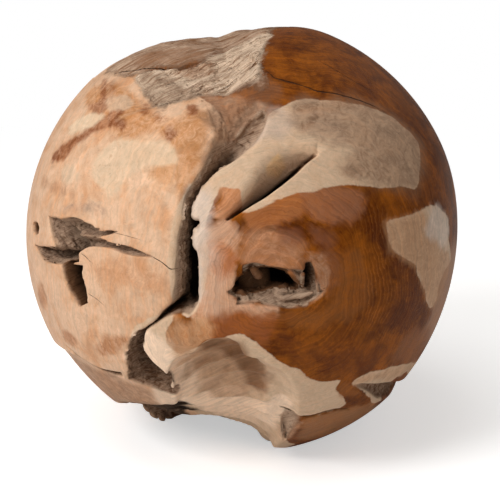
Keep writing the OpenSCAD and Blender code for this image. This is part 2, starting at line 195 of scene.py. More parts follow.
@dataclass(frozen=True)
class Hollow:
    """A hollow swept along stations on the ball.

    A station is (lon, lat, share of the left reach, of the right reach, of the depth); left and right
    are as seen when walking along the line. join says how widely the hollow flows into the one before it.
    """

    name: str
    left: float
    right: float
    depth: float
    stations: tuple[tuple[float, float, float, float, float], ...]
    section: Section = Section.BOWL
    wall: Wall = Wall()
    join: float = 0.0
    steps: int = 4

    def path(self) -> tuple[np.ndarray, np.ndarray, np.ndarray, np.ndarray]:
        """Smooth path through the stations.

        Returns:
            Directions, tangents, rightward sides and shares, one row for each place on the path.
        """
        s = np.array(self.stations, float)
        rows = np.hstack([toward(s[:, 0], s[:, 1]), s[:, 2:]])
        ext = np.vstack([rows[:1], rows, rows[-1:]])
        out = []
        for i in range(1, len(rows)):
            a, b, c, d = ext[i - 1 : i + 3]
            for k in range(self.steps):
                t = k / self.steps
                out.append(b + t / 2 * (c - a + t * (2 * a - 5 * b + 4 * c - d + t * (3 * (b - c) + d - a))))
        out.append(rows[-1])
        p = np.array(out)
        n = p[:, :3] / np.linalg.norm(p[:, :3], axis=1, keepdims=True)
        ahead = np.vstack([n[1:], n[-1:]]) - np.vstack([n[:1], n[:-1]])
        ahead -= n * np.sum(n * ahead, axis=1, keepdims=True)
        ahead /= np.linalg.norm(ahead, axis=1, keepdims=True)
        return n, ahead, np.cross(ahead, n), np.maximum(p[:, 3:], 0.04)

    def near(self, n: np.ndarray, margin: float = 14.0) -> np.ndarray:
        """Which directions lie close enough for this hollow to matter there."""
        foot, _, _, shares = self.path()
        found = np.zeros(len(n), bool)
        for i in range(len(foot)):
            reach = max(self.left * shares[i, 0], self.right * shares[i, 1]) + margin
            found |= n @ foot[i] > math.cos(min(reach / BALL_R, 1.4))
        return found

    def coordinates(self, n: np.ndarray) -> tuple[np.ndarray, ...]:
        """Where each direction lies along and across the hollow.

        Returns:
            For every crossing of a section: the row of the direction, distance along, distance across
            (right is positive), overshoot past an end, and the two reaches and the depth there.
        """
        foot, ahead, side, shares = self.path()
        gone = np.concatenate([[0.0], np.cumsum(np.arccos(np.clip(np.sum(foot[1:] * foot[:-1], 1), -1, 1)))])
        sheets: list[tuple[np.ndarray, ...]] = []
        f = (n @ ahead.T).astype(np.float32)

        def keep(rows: np.ndarray, j: int, k: int, t: np.ndarray | float, over: np.ndarray) -> None:
            t = np.broadcast_to(t, rows.shape)[:, None]
            p, q = n[rows], foot[j] * (1 - t) + foot[k] * t
            close = np.sum(p * q, 1) > 0.55
            rows, t, p, over = rows[close], t[close], p[close], over[close]
            across = side[j] * (1 - t) + side[k] * t
            across /= np.linalg.norm(across, axis=1, keepdims=True)
            u = BALL_R * np.arcsin(np.clip(np.sum(p * across, 1), -1, 1))
            share = shares[j] * (1 - t) + shares[k] * t
            along = BALL_R * (gone[j] * (1 - t[:, 0]) + gone[k] * t[:, 0])
            sheets.append((rows, along, u, over, share[:, 0], share[:, 1], share[:, 2]))

        for j in range(len(foot) - 1):
            rows = np.nonzero((f[:, j] >= 0) & (f[:, j + 1] < 0))[0]
            if len(rows):
                t = f[rows, j] / np.maximum(f[rows, j] - f[rows, j + 1], 1e-9)
                keep(rows, j, j + 1, t, np.full(len(rows), -FAR))
        for j, sign in ((0, -1.0), (len(foot) - 1, 1.0)):
            rows = np.nonzero((sign * f[:, j] > 0) & (sign * f[:, j] < 0.12))[0]
            keep(rows, j, j, 0.0, BALL_R * sign * f[rows, j])
        return tuple(np.concatenate(c) for c in zip(*sheets))

    def field(self, p: np.ndarray, n: np.ndarray, h: np.ndarray, noise: Noise) -> tuple[np.ndarray, np.ndarray]:
        """Signed distance to the hollow's wall, negative inside the hollow, and how wide its rim rolls.

        Args:
            p: points in mm around the ball's middle.
            n: their directions.
            h: their heights over the ball.
            noise: gives the wander of the outline and the relief of the wall.

        Returns:
            The distance and the rim width at each point.
        """
        wall = self.wall
        drift = noise(p / 24.0, 1.0) + 0.45 * noise(p / 8.5, 2.0)
        rows, along, u, over, left, right, deep = self.coordinates(n)
        h, drift = h[rows], drift[rows]
        is_right = u > 0
        reach = np.where(is_right, self.right * right, self.left * left)
        reach = np.maximum(reach + np.minimum(wall.wander, 0.3 * reach) * drift, 0.3)
        depth = np.maximum(self.depth * deep * (1 + 0.05 * wall.wander * drift), 0.4)
        e = self.section.value
        a, b = np.abs(u) / reach, np.maximum(LIFT - h, 0.0) / depth
        q = np.maximum((a**e + b**e) ** (1 / e), 0.05)
        slope = np.sqrt(((a / q) ** (e - 1) / reach) ** 2 + ((b / q) ** (e - 1) / depth) ** 2)
        g = (q - 1) / np.maximum(slope, 1e-4)
        if wall.relief:
            gx, gy, gz = wall.grain
            spot = np.stack([along / gx, (u + wall.lean * along) / gy, h / gz], 1) + 0.15 * drift[:, None]
            torn = 0.4 - noise.ridged(spot, 3, 3.0)
            fade = ramp(reach + 1.0 - np.abs(u), 0.0, 3.0)
            g = g - wall.relief * torn * fade * 1.6
        if wall.flute:
            turn = (u + wall.lean * along) / wall.grain[1] + 0.15 * drift
            g = g - wall.flute * (np.abs(np.sin(math.pi * turn)) - 0.6) * ramp(reach - np.abs(u), 0.0, 8.0)
        g = np.maximum(g, over)
        best = np.full(len(p), FAR, np.float32)
        np.minimum.at(best, rows, g.astype(np.float32))
        rim = np.full(len(p), 0.5 * (wall.rim_left + wall.rim_right), np.float32)
        rim[rows] = np.where(is_right, wall.rim_right, wall.rim_left)
        return best, rim


# The pale of each wall also sets how deep the painted shade begins that darkens its raw wood.
RAW = Wall(1.2, 1.2, 1.4, 1.8, (24.0, 5.0, 8.0), pale=0.42)
CREVICE_WALL = Wall(5.0, 7.0, 1.2, 1.6, (9.0, 30.0, 4.5), pale=0.9)
SPLIT_WALL = Wall(2.5, 1.5, 0.4, 0.0, raw=0.0)
KNOT_WALL = Wall(2.0, 2.5, 1.6, 1.8, (12.0, 6.0, 6.0), pale=0.1)

HOLLOWS = (
    Hollow("top", 112, 88, 19, (
        (-7, 49.5, 0.2, 0.22, 0.3), (-8, 54.5, 0.6, 0.5, 0.6), (-10, 60, 0.82, 0.48, 0.82),
        (-13, 67, 0.95, 0.46, 0.95), (-22, 76, 1, 0.6, 1), (-60, 83, 1, 0.8, 1),
        (-135, 80, 1, 1, 1), (-158, 71, 1, 1, 1), (-166, 60, 0.8, 0.85, 0.7),
        (-170, 50, 0.5, 0.55, 0.35), (-172, 43, 0.15, 0.2, 0.1),
    ), Section.SLOPE, Wall(8.0, 5.0, 2.0, 0.0, raw=0.0)),
    Hollow("tray", 26, 26, 21, (
        (-53, 48.6, 0.6, 0.7, 0.1), (-48, 51.8, 0.9, 0.9, 0.38), (-41, 55.5, 1, 1, 0.62), (-34, 60, 1, 1, 0.86),
        (-26, 65, 0.95, 1, 0.97), (-14, 70, 0.8, 0.9, 1), (6, 73, 0.4, 0.5, 0.75),
    ), Section.BOX, Wall(2.0, 3.0, 2.0, 0.5, (30.0, 3.5, 8.0), 0.0)),
    Hollow("split_upper", 1.8, 1.8, 23.5, (
        (-64, 57.5, 0.4, 0.4, 0.3), (-54, 62, 0.9, 0.9, 0.6), (-46, 66.5, 1, 1, 0.75),
        (-40, 71, 1, 1, 0.7), (-44, 75, 0.5, 0.5, 0.5),
    ), wall=SPLIT_WALL),
    Hollow("split_middle", 1.8, 1.8, 23.5, (
        (-44, 56.5, 0.5, 0.5, 0.6), (-36, 62, 1, 1, 0.85), (-26, 67.5, 1.1, 1.1, 1), (-10, 72, 0.5, 0.5, 0.8),
    ), wall=SPLIT_WALL),
    Hollow("split_lower", 1.8, 1.8, 23.5, (
        (-36, 53, 0.5, 0.5, 0.5), (-28, 58.5, 1, 1, 0.8), (-18, 64, 1.1, 1.1, 0.9),
        (-4, 68.5, 0.9, 0.9, 0.8), (8, 70.5, 0.4, 0.4, 0.5),
    ), wall=SPLIT_WALL),
    Hollow("split_front", 1.8, 1.8, 23.5, (
        (-20, 56, 0.5, 0.5, 0.5), (-9, 61, 1, 1, 0.7), (2, 65, 1, 1, 0.55), (13, 67.5, 0.5, 0.5, 0.3),
    ), wall=SPLIT_WALL),
    Hollow("throat", 25, 25, 17, (
        (-8, 55, 1, 0.9, 0.5), (-5, 50.5, 1, 1, 0.75), (-2.5, 46.5, 0.9, 0.8, 0.95),
        (-2.5, 42.5, 0.7, 0.75, 1), (-5, 39, 0.4, 0.5, 0.8),
    ), Section.BOWL, Wall(5.0, 7.0, 2.0, 1.0, (16.0, 5.0, 8.0), 0.45), join=16.0),
    Hollow("crevice", 10, 10, 58, (
        (8, 49.5, 0.3, 0.4, 0.2), (5, 46, 0.5, 1, 0.35), (-0.5, 42.5, 1, 1.1, 0.45),
        (-5.5, 38.5, 1.2, 1.2, 0.55), (-9.7, 33.5, 0.5, 0.6, 0.75), (-13.4, 28, 0.4, 0.5, 0.95),
        (-14.6, 24, 0.4, 0.45, 1), (-14, 20, 0.8, 0.76, 1), (-14.7, 16.5, 0.6, 0.7, 1),
        (-14.2, 11, 1, 0.95, 1), (-13.8, 5.5, 0.98, 0.95, 1), (-14.4, 1.5, 1.15, 1, 1),
        (-15.5, -2, 0.8, 0.8, 0.8),
    ), Section.BOWL, CREVICE_WALL),
    Hollow("crack", 2.5, 2.5, 30, (
        (-15, -0.5, 2.2, 2.2, 1.3), (-19, -2.8, 1.2, 1.4, 1.1), (-22, -5.5, 0.4, 0.4, 0.9),
        (-26, -9, 0.4, 0.4, 0.9), (-27, -12, 0.8, 0.8, 0.8),
    ), Section.BOWL, Wall(5.0, 3.0, 0.8, 0.6, (12.0, 6.0, 6.0))),
    # Painted shade: the slit's raw share turns its walls grey-brown, darker with depth, where the roll would shade
    # them.
    Hollow("slit", 19, 4, 26, (
        (-3.5, 21.3, 0.15, 0.3, 0.2), (0.5, 24.6, 0.3, 0.8, 0.7), (5, 27.2, 0.65, 1, 1),
        (10.3, 30.3, 1, 1, 1), (15, 33.1, 0.95, 1, 0.9), (19, 35.3, 0.6, 0.8, 0.65),
        (23.3, 36.6, 0.15, 0.4, 0.2),
    ), Section.WEDGE, Wall(10.0, 1.4, 0.5, 0.3, (20.0, 5.0, 6.0), 0.35, pale=0.9)),
    # Painted shadow: the slit floor's raw wall with pale 0 turns near black with depth, a thin dark line in the slit.
    Hollow("slit_floor", 1.3, 1.3, 33, (
        (-4.0, 21.2, 0.5, 0.5, 0.25), (0.8, 24.2, 0.9, 0.9, 0.7), (5.3, 26.9, 1.3, 1.2, 1),
        (10.5, 29.9, 2.2, 1.5, 1), (15.2, 32.7, 1.8, 1.3, 0.9), (19.2, 35.1, 0.8, 0.8, 0.7),
        (22.5, 36.4, 0.3, 0.3, 0.3),
    ), Section.BOWL, Wall(3.0, 1.2, 0.4, 0.2, (12.0, 5.0, 6.0), 1.0, pale=0.0)),
    Hollow("star_trunk", 13, 13, 27, (
        (-62, 13.2, 0.1, 0.1, 0.3), (-57, 11, 0.95, 0.8, 0.8), (-52.5, 9, 1.35, 1, 1),
        (-51, 6, 1.3, 0.8, 1), (-49.5, 4, 0.8, 0.6, 0.8),
    ), Section.BOWL, RAW),
    Hollow("star_pocket", 6.5, 6.5, 27, (
        (-69, 3.6, 0.2, 0.2, 0.4), (-63, 3.3, 1.05, 0.95, 0.85), (-57, 4.4, 1.2, 1.1, 1),
        (-51, 5.6, 1.1, 1, 1), (-46, 6.6, 0.6, 0.6, 0.7),
    ), Section.BOWL, RAW, join=4.0),
    Hollow("star_upper_arm", 6.5, 6.5, 27, (
        (-55, 13, 0.6, 1.2, 0.6), (-49.5, 14.2, 1.1, 1.2, 0.75), (-44, 14.2, 0.8, 0.9, 0.6),
        (-39, 14.6, 0.4, 0.55, 0.45), (-34, 15.4, 0.12, 0.12, 0.15),
    ), Section.BOWL, RAW, join=4.0),
    Hollow("star_lower_arm", 6.5, 6.5, 27, (
        (-49, 9, 1.3, 1.2, 0.9), (-43.5, 11, 0.9, 0.8, 0.6), (-39, 11.8, 0.6, 0.55, 0.5),
        (-34.5, 11.8, 0.5, 0.5, 0.45), (-29, 11.4, 0.55, 0.6, 0.4), (-23, 10.8, 0.12, 0.12, 0.12),
    ), Section.BOWL, RAW, join=4.0),
    # pale below 0: the painted shade of the depth starts right under the rims of the square and the small hole.
    Hollow("square_hole", 12.5, 12.5, 44, (
        (-48.7, 4.2, 1.25, 1.3, 0.7), (-48, 1, 1.05, 1.05, 1), (-46.2, -2, 0.98, 0.95, 1),
        (-44.3, -5.4, 0.65, 0.65, 0.8),
    ), Section.BOX, Wall(1.4, 1.4, 1.2, 1.2, (7.0, 7.0, 14.0), pale=-0.4)),
    Hollow("small_hole", 7.5, 7.5, 32, (
        (-72.5, 7.6, 0.5, 0.5, 0.9), (-70.5, 7.9, 0.8, 0.8, 1), (-68.5, 8.2, 0.75, 0.75, 0.9),
        (-67, 8.2, 0.4, 0.4, 0.8),
    ), Section.BOX, Wall(1.2, 1.2, 0.6, 0.6, (8.0, 6.0, 6.0), pale=-0.4)),
    Hollow("knot_mouth", 18, 18, 15, (
        (-3.7, 3.4, 0.1, 0.1, 0.6), (-1.2, 4.6, 0.15, 0.8, 0.9), (-0.3, 4.6, 1, 0.8, 1),
        (3, 4.6, 1.25, 0.8, 1), (6, 4.5, 1.1, 0.85, 1), (10.5, 4.2, 0.95, 1, 1),
        (15.5, 3.8, 0.8, 1, 1), (18, 3.4, 0.4, 0.6, 0.9), (20.2, 3, 0.1, 0.1, 0.5),
    ), Section.BOX, Wall(2.0, 2.5, 1.6, 1.8, (12.0, 6.0, 6.0), pale=0.55)),
    Hollow("knot_core", 18, 18, 60, (
        (-2.5, 3.8, 0.2, 0.2, 0.5), (1, 5.4, 0.7, 0.65, 0.55), (4.5, 6, 0.7, 0.6, 0.8),
        (8, 6.3, 0.62, 0.5, 1), (11, 5.2, 0.5, 0.35, 1), (14.2, 3.6, 0.15, 0.15, 0.7),
    ), Section.BOWL, KNOT_WALL, join=1.0),
    Hollow("knot_slot", 4.75, 4.75, 60, (
        (16.4, 10.2, 0.6, 0.6, 0.5), (16.7, 8, 1, 1, 0.85), (16.7, 5, 1, 1, 0.85),
        (16.4, 3, 0.8, 0.8, 0.6),
    ), Section.BOWL, Wall(2.0, 3.0, 0.8, 0.6, (8.0, 6.0, 6.0))),
    Hollow("scoop", 50, 50, 36, (
        (-2.5, -9.2, 0.1, 0.1, 0.2), (-4, -12, 0.34, 0.42, 0.56), (-4.5, -15, 0.58, 0.6, 0.84),
        (-5, -18.5, 0.74, 0.94, 0.97), (-5, -23, 0.82, 1.02, 1), (-6, -29, 0.88, 0.84, 1),
        (-8, -38, 0.98, 0.8, 1), (-12, -49, 1.1, 0.9, 0.97), (-18, -60, 1.1, 1, 0.95),
        (-26, -70, 1, 1, 0.9),
    ), Section.SCOOP, Wall(2.5, 2.0, 0.4, 0.0, (120.0, 40.0, 60.0), 0.0, -1.7, flute=4.5)),
    Hollow("apron", 31, 31, 17, (
        (4, -15, 0.12, 0.3, 0.15), (4.5, -19, 0.45, 0.6, 0.6), (7, -25, 0.65, 0.9, 0.95),
        (8, -33, 0.78, 1, 1), (7, -42, 0.85, 1, 1), (3, -52, 0.8, 1, 1), (-4, -62, 0.7, 1, 1),
    ), Section.BOWL, Wall(5.0, 4.0, 0.8, 0.25, (9.0, 7.0, 20.0), 0.0), join=6.0),
    Hollow("toe", 12, 12, 11, (
        (2, -58, 0.3, 0.3, 0.3), (8, -60, 0.8, 0.8, 0.8), (14, -64, 1, 1, 1), (24, -68, 0.8, 0.8, 0.8),
    ), Section.BOWL, Wall(6.0, 6.0, 0.6, 0.0, raw=0.0)),
    Hollow("recess", 30, 30, 27, (
        (-26.5, -8.8, 0.05, 0.05, 0.4), (-27.5, -13.5, 0.1, 0.38, 0.9), (-27, -18, 0.29, 0.68, 1),
        (-26, -22, 0.55, 0.8, 1), (-26.6, -24.6, 0.74, 0.78, 0.85), (-27.3, -27.2, 0.92, 0.78, 0.65),
    ), Section.RECESS, Wall(4.0, 2.0, 0.9, 1.8, (3.6, 46.0, 14.0), pale=0.3)),
    Hollow("lobe_crease", 2.5, 2.5, 27, (
        (-58, -22, 0.3, 0.3, 0.3), (-52.5, -24, 0.8, 0.8, 0.5), (-46, -25.3, 0.6, 0.6, 0.4),
        (-40.5, -24.9, 0.8, 0.8, 0.5), (-36, -24.4, 0.9, 0.9, 0.6),
    ), Section.BOWL, Wall(4.0, 2.5, 1.0, 0.6, (12.0, 5.0, 6.0))),
    Hollow("lobe", 62, 62, 7, (
        (-96, -46, 0.3, 0.5, 0.2), (-80, -43, 0.8, 0.9, 0.8), (-60, -42, 1, 1, 1),
        (-42, -43, 1, 1, 1), (-26, -46, 1, 1, 0.9), (-14, -50, 0.7, 0.7, 0.5),
    ), Section.BOX, Wall(3.0, 6.0, 0.8, 0.0, raw=0.2)),
    Hollow("undercut", 70, FOOT_R / 2, 30, (
        (-124, -60, 0.1, 0.15, 0.1), (-100, -61, 0.36, 0.55, 0.45), (-78, -62, 0.54, 0.8, 0.7),
        (-56, -62, 0.74, 1, 0.9), (-36, -57, 0.86, 1, 1), (-18, -54, 0.94, 1, 1),
        (-2, -55, 0.6, 0.8, 0.8),
    ), Section.BOWL, Wall(8.0, 4.0, 2.0, 1.4, (40.0, 8.0, 9.0))),
    Hollow("lip", 2, 2, 13, (
        (13, -37, 0.8, 0.8, 0.8), (18, -37, 1, 1, 1), (22, -37.3, 1.2, 1.2, 1),
        (26.5, -36.4, 1.1, 1.1, 1), (31, -36.4, 0.8, 0.8, 0.8), (37, -38, 0.4, 0.4, 0.4),
    ), Section.WEDGE, Wall(1.5, 1.5, 0.6, 0.3, (8.0, 5.0, 6.0))),
    Hollow("pocket", 13, 13, 13, (
        (15.5, -37.2, 0.9, 0.75, 0.7), (15, -41, 1, 0.9, 1), (16, -46, 0.55, 0.7, 1),
        (17.5, -50.5, 0.12, 0.15, 0.5),
    ), Section.WEDGE, Wall(2.5, 2.5, 1.2, 1.4, (24.0, 4.0, 8.0), pale=0.6), join=3.0),
    Hollow("notch", 10.5, 10.5, 12, (
        (33.5, -27.4, 0.15, 0.2, 0.15), (39, -29.6, 0.45, 0.5, 0.55), (45.5, -32.6, 0.75, 0.8, 0.85),
        (52, -35.6, 1, 1, 1), (60, -38.2, 1, 1, 1), (70, -40.6, 0.9, 0.9, 0.9),
        (80, -42, 0.55, 0.55, 0.5), (89, -42.6, 0.15, 0.15, 0.15),
    ), Section.BOWL, Wall(3.5, 2.5, 1.2, 0.9, (20.0, 5.0, 8.0))),
)

# Smooth ridges that stand in the hollows: (lon, lat, height over the ball, radius) along each
RIBS = (
    ((1.1, 7.0, -28, 10), (1.9, -0.7, -28, 10)),
    ((4.2, 6.9, -29, 10), (5.3, -0.2, -29, 10)),
    ((2.5, 9.2, -9, 3.2), (3.8, 7.3, -13, 4.2)),
    ((11.7, 8.0, -4, 2.4), (13.6, 6.2, -7, 3.0), (15.4, 3.8, -10, 1.4)),
    ((15.0, 7.3, -4, 2.2), (15.4, 3.8, -9, 1.3)),
    ((17.8, 10.2, -3, 1.8), (18.7, 7.5, -4, 1.7), (18.6, 5.0, -5, 1.5), (18.9, 2.6, -4, 1.6)),
    ((19.6, 10.6, -1.5, 1.6), (19.9, 8.2, -3, 1.4), (19.5, 5.6, -4, 1.5), (19.8, 3.2, -3, 1.6)),
    ((20.4, 10.0, -1.2, 1.3), (21.3, 7.6, -1.8, 1.4), (20.8, 4.6, -2, 1.4)),
    ((-0.8, 2.8, -9, 3.4), (0.7, 1.4, -8, 3.0)),
    ((6.5, 0.7, -14, 2.2), (10.3, 0.8, -12, 2.4), (14.7, 1.2, -10, 2.2), (17.5, 2.3, -6, 1.6)),
    ((-12.2, 24.6, -6, 4.4), (-12.4, 22.2, -6, 5.0)),
    ((-12.0, 18.0, -6, 4.2), (-11.5, 15.0, -6, 5.0)),
    ((6.5, 49.8, -6, 2.0), (2.6, 49.2, -13, 2.4), (-0.9, 46.6, -16, 2.0), (-2.7, 45.1, -18, 1.6)),
)

# Fibre bundles of the stub: share of its width to the right, to the back, share of the fibre
STUB_W = 24.0
STUB_H = 42.0
FIBRE_R = 3.5
STUB_FIBRES = (
    (-0.45, -0.1, 0.9), (-0.3, 0.25, 1.0), (-0.2, -0.4, 1.0), (0.0, 0.0, 1.1), (0.05, 0.4, 1.0),
    (0.1, -0.45, 0.9), (0.3, 0.2, 1.0), (0.35, -0.2, 1.1), (0.5, 0.05, 0.8),
)


@dataclass(frozen=True)
class Patch:
    """Closed zone of the surface, drawn through a few places on the ball."""

    name: str
    outline: tuple[tuple[float, float], ...]

    def distance(self, n: np.ndarray) -> np.ndarray:
        """Distance in mm from each direction to the outline, positive inside the zone."""
        places = np.array(self.outline, float)
        ring = toward(places[:, 0], places[:, 1])
        mid = ring.mean(0) / np.linalg.norm(ring.mean(0))
        right = np.cross(mid, [0.0, 0.0, 1.0])
        right /= np.linalg.norm(right)
        up = np.cross(right, mid)

        def flat(v: np.ndarray) -> np.ndarray:
            turn = np.arccos(np.clip(v @ mid, -1, 1))
            x, y = v @ right, v @ up
            size = np.maximum(np.hypot(x, y), 1e-6)
            return np.stack([x / size * turn, y / size * turn], 1) * BALL_R

        corner = flat(ring)
        count = len(corner)
        smooth = []
        for i in range(count):
            a, b, c, d = (corner[(i + k) % count] for k in (-1, 0, 1, 2))
            for t in (0.0, 1 / 3, 2 / 3):
                smooth.append(b + t / 2 * (c - a + t * (2 * a - 5 * b + 4 * c - d + t * (3 * (b - c) + d - a))))
        poly = np.array(smooth)
        q = flat(n)
        best = np.full(len(n), 1e9)
        inside = np.zeros(len(n), bool)
        for a, b in zip(poly, np.roll(poly, -1, 0)):
            way = b - a
            t = np.clip(((q - a) @ way) / max(way @ way, 1e-9), 0, 1)
            best = np.minimum(best, np.sum((q - a - t[:, None] * way) ** 2, 1))
            if a[1] != b[1]:
                crosses = (a[1] > q[:, 1]) != (b[1] > q[:, 1])
                inside ^= crosses & (q[:, 0] < a[0] + (q[:, 1] - a[1]) * way[0] / way[1])
        return np.where(inside, 1.0, -1.0) * np.sqrt(best)


TORN = Patch("torn", (
    (-61, 56), (-49.3, 52.9), (-40.6, 50.6), (-34, 48.9), (-30.4, 50.7), (-25.4, 52.9), (-19.3, 56),
    (-8.5, 57.5), (4, 58.5), (9.5, 60.5), (11, 65), (10.5, 67), (15, 71), (28, 77), (60, 82), (-30, 80),
    (-40, 75), (-38.6, 70.8),
    (-46.4, 66.2), (-52.3, 62.9), (-58.3, 60.1),
))


class RootBall:
    """The ball as a distance field, in mm around its own middle."""

    def __init__(self, noise: Noise) -> None:
        self.noise = noise

    def ground(self, p: np.ndarray) -> np.ndarray:
        """Distance to the ball as it was ground, with its flatter side."""
        ball = np.linalg.norm(p, axis=1) - GROUND_R
        flat = np.linalg.norm(p + FLAT_WAY * (SIDE_FLAT_R - BALL_R + SIDE_FLAT), axis=1) - SIDE_FLAT_R
        return soft_max(ball, flat, 3.0).astype(np.float32)

    def foot_hollow(self, p: np.ndarray) -> np.ndarray:
        """Distance to the hollow in the foot, negative inside it."""
        size = np.array([55.0, 63.25, 30.0])
        q = (p - np.array([-0.3 * FOOT_R, -0.45 * FOOT_R, -MIDDLE_H])) / size
        far = np.maximum(np.linalg.norm(q, axis=1), 0.05)
        return (far - 1.0) / np.maximum(np.linalg.norm(q / size, axis=1) / far, 1e-4)

    def stub(self, p: np.ndarray) -> np.ndarray:
        """Distance to the bundle of torn fibres that reaches the floor."""
        foot = np.array([-FOOT_R, FOOT_R / 8, -MIDDLE_H])
        best = np.full(len(p), FAR, np.float32)
        bend = 0.8 * self.noise(p / np.array([4.0, 4.0, 30.0]), 5.0)
        for right, back, size in STUB_FIBRES:
            low = foot + STUB_W * np.array([right, back, 0.0])
            high = foot + np.array([STUB_W * (right - 0.3), STUB_W * back, STUB_H])
            way = high - low
            t = np.clip((p - low) @ way / (way @ way), 0.0, 1.0)
            r = FIBRE_R * size * (1.0 + 0.5 * t)
            d = np.linalg.norm(p - low - t[:, None] * way, axis=1) - r + bend
            best = soft_min(best, d, 1.6)
        return best

    def ribs(self, p: np.ndarray, n: np.ndarray) -> np.ndarray:
        """Distance to the ridges that stand in the hollows."""
        best = np.full(len(p), FAR, np.float32)
        for rib in RIBS:
            s = np.array(rib, float)
            at = toward(s[:, 0], s[:, 1]) * (BALL_R + s[:, 2:3])
            rows = np.nonzero(n @ (at.mean(0) / np.linalg.norm(at.mean(0))) > 0.975)[0]
            q = p[rows]
            bend = 0.7 * self.noise(q / 6.0, 8.0)
            for a, b, ra, rb in zip(at[:-1], at[1:], s[:-1, 3], s[1:, 3]):
                t = np.clip(((q - a) @ (b - a)) / ((b - a) @ (b - a)), 0, 1)
                d = np.linalg.norm(q - a - t[:, None] * (b - a), axis=1) - (ra + t * (rb - ra)) + bend
                best[rows] = soft_min(best[rows], d, 1.2)
        return best

    def fibres(self, p: np.ndarray, n: np.ndarray) -> np.ndarray:
        """Height in mm of the torn fibres that run across the tray and, lower, over the weathered top."""
        rows = np.nonzero(n[:, 2] > 0.62)[0]
        amount = np.maximum(ramp(TORN.distance(n[rows]), -3.0, 3.0), 0.4 * ramp(CREST.distance(n[rows]), -3.0, 9.0))
        rows, amount = rows[amount > 0.0], amount[amount > 0.0]
        out = np.zeros(len(p), np.float32)
        q = p[rows]
        way = toward(17.0, 74.0) - toward(-38.0, 49.0)
        way /= np.linalg.norm(way)
        across = np.cross(way, toward(-15.0, 66.0))
        across /= np.linalg.norm(across)
        along, side = q @ way, q @ across
        side = side + 2.5 * self.noise(q / 30.0, 13.0)
        spot = np.stack([along / 50.0, side / 3.4, np.full(len(q), 0.5)], 1)
        thread = np.abs(self.noise(spot, 14.0)) + 0.5 * np.abs(self.noise(spot * np.array([1.7, 2.0, 1]), 15.0))
        plate = self.noise(np.stack([along / 38.0, side / 11.0, np.zeros(len(q))], 1), 16.0)
        plate = np.floor(plate * 2.2) / 2.2 + 0.5 * plate
        out[rows] = amount * (2.6 * (0.4 - thread) + 2.2 * plate)
        return out

    def distance(self, p: np.ndarray) -> tuple[np.ndarray, dict[str, np.ndarray]]:
        """Signed distance to the ball's surface, negative in the wood.

        Args:
            p: points in mm around the ball's middle, in rows.

        Returns:
            The distance, and the distance to each hollow's wall that comes near.
        """
        rho = np.maximum(np.linalg.norm(p, axis=1), 1.0)
        n = p / rho[:, None]
        h = rho - BALL_R
        ground = self.ground(p)
        solid = ground.copy()
        base, group, roll = solid, solid, solid
        walls: dict[str, np.ndarray] = {}
        for hollow in HOLLOWS:
            near = hollow.near(n) & (h > -hollow.depth * 1.4 - 12.0)
            rows = np.nonzero(near)[0]
            wall = np.full(len(p), FAR, np.float32)
            rims = np.full(len(p), 2.0, np.float32)
            if len(rows):
                wall[rows], rims[rows] = hollow.field(p[rows], n[rows], h[rows], self.noise)
            walls[hollow.name] = wall
            if hollow.join:
                roll = np.where(wall < group, rims, roll)
                group = soft_min(group, wall, hollow.join)
            else:
                base, group, roll = solid, wall, rims
            solid = soft_max(base, -group, roll)
        foot = self.foot_hollow(p) - 1.2 * self.noise.fractal(p / 14.0, 2, 6.0)
        walls["foot_hollow"] = foot
        solid = soft_max(solid, -foot, 4.0)
        solid = solid + self.fibres(p, n)
        ribs = soft_max(self.ribs(p, n), ground + 0.6, 1.0)
        walls["ribs"] = ribs
        solid = soft_min(solid, ribs, 1.6)
        stub = soft_max(self.stub(p), ground, 1.0)
        walls["stub"] = stub
        solid = soft_min(solid, stub, 2.5)
        return soft_max(solid, -MIDDLE_H - p[:, 2], 0.8), walls


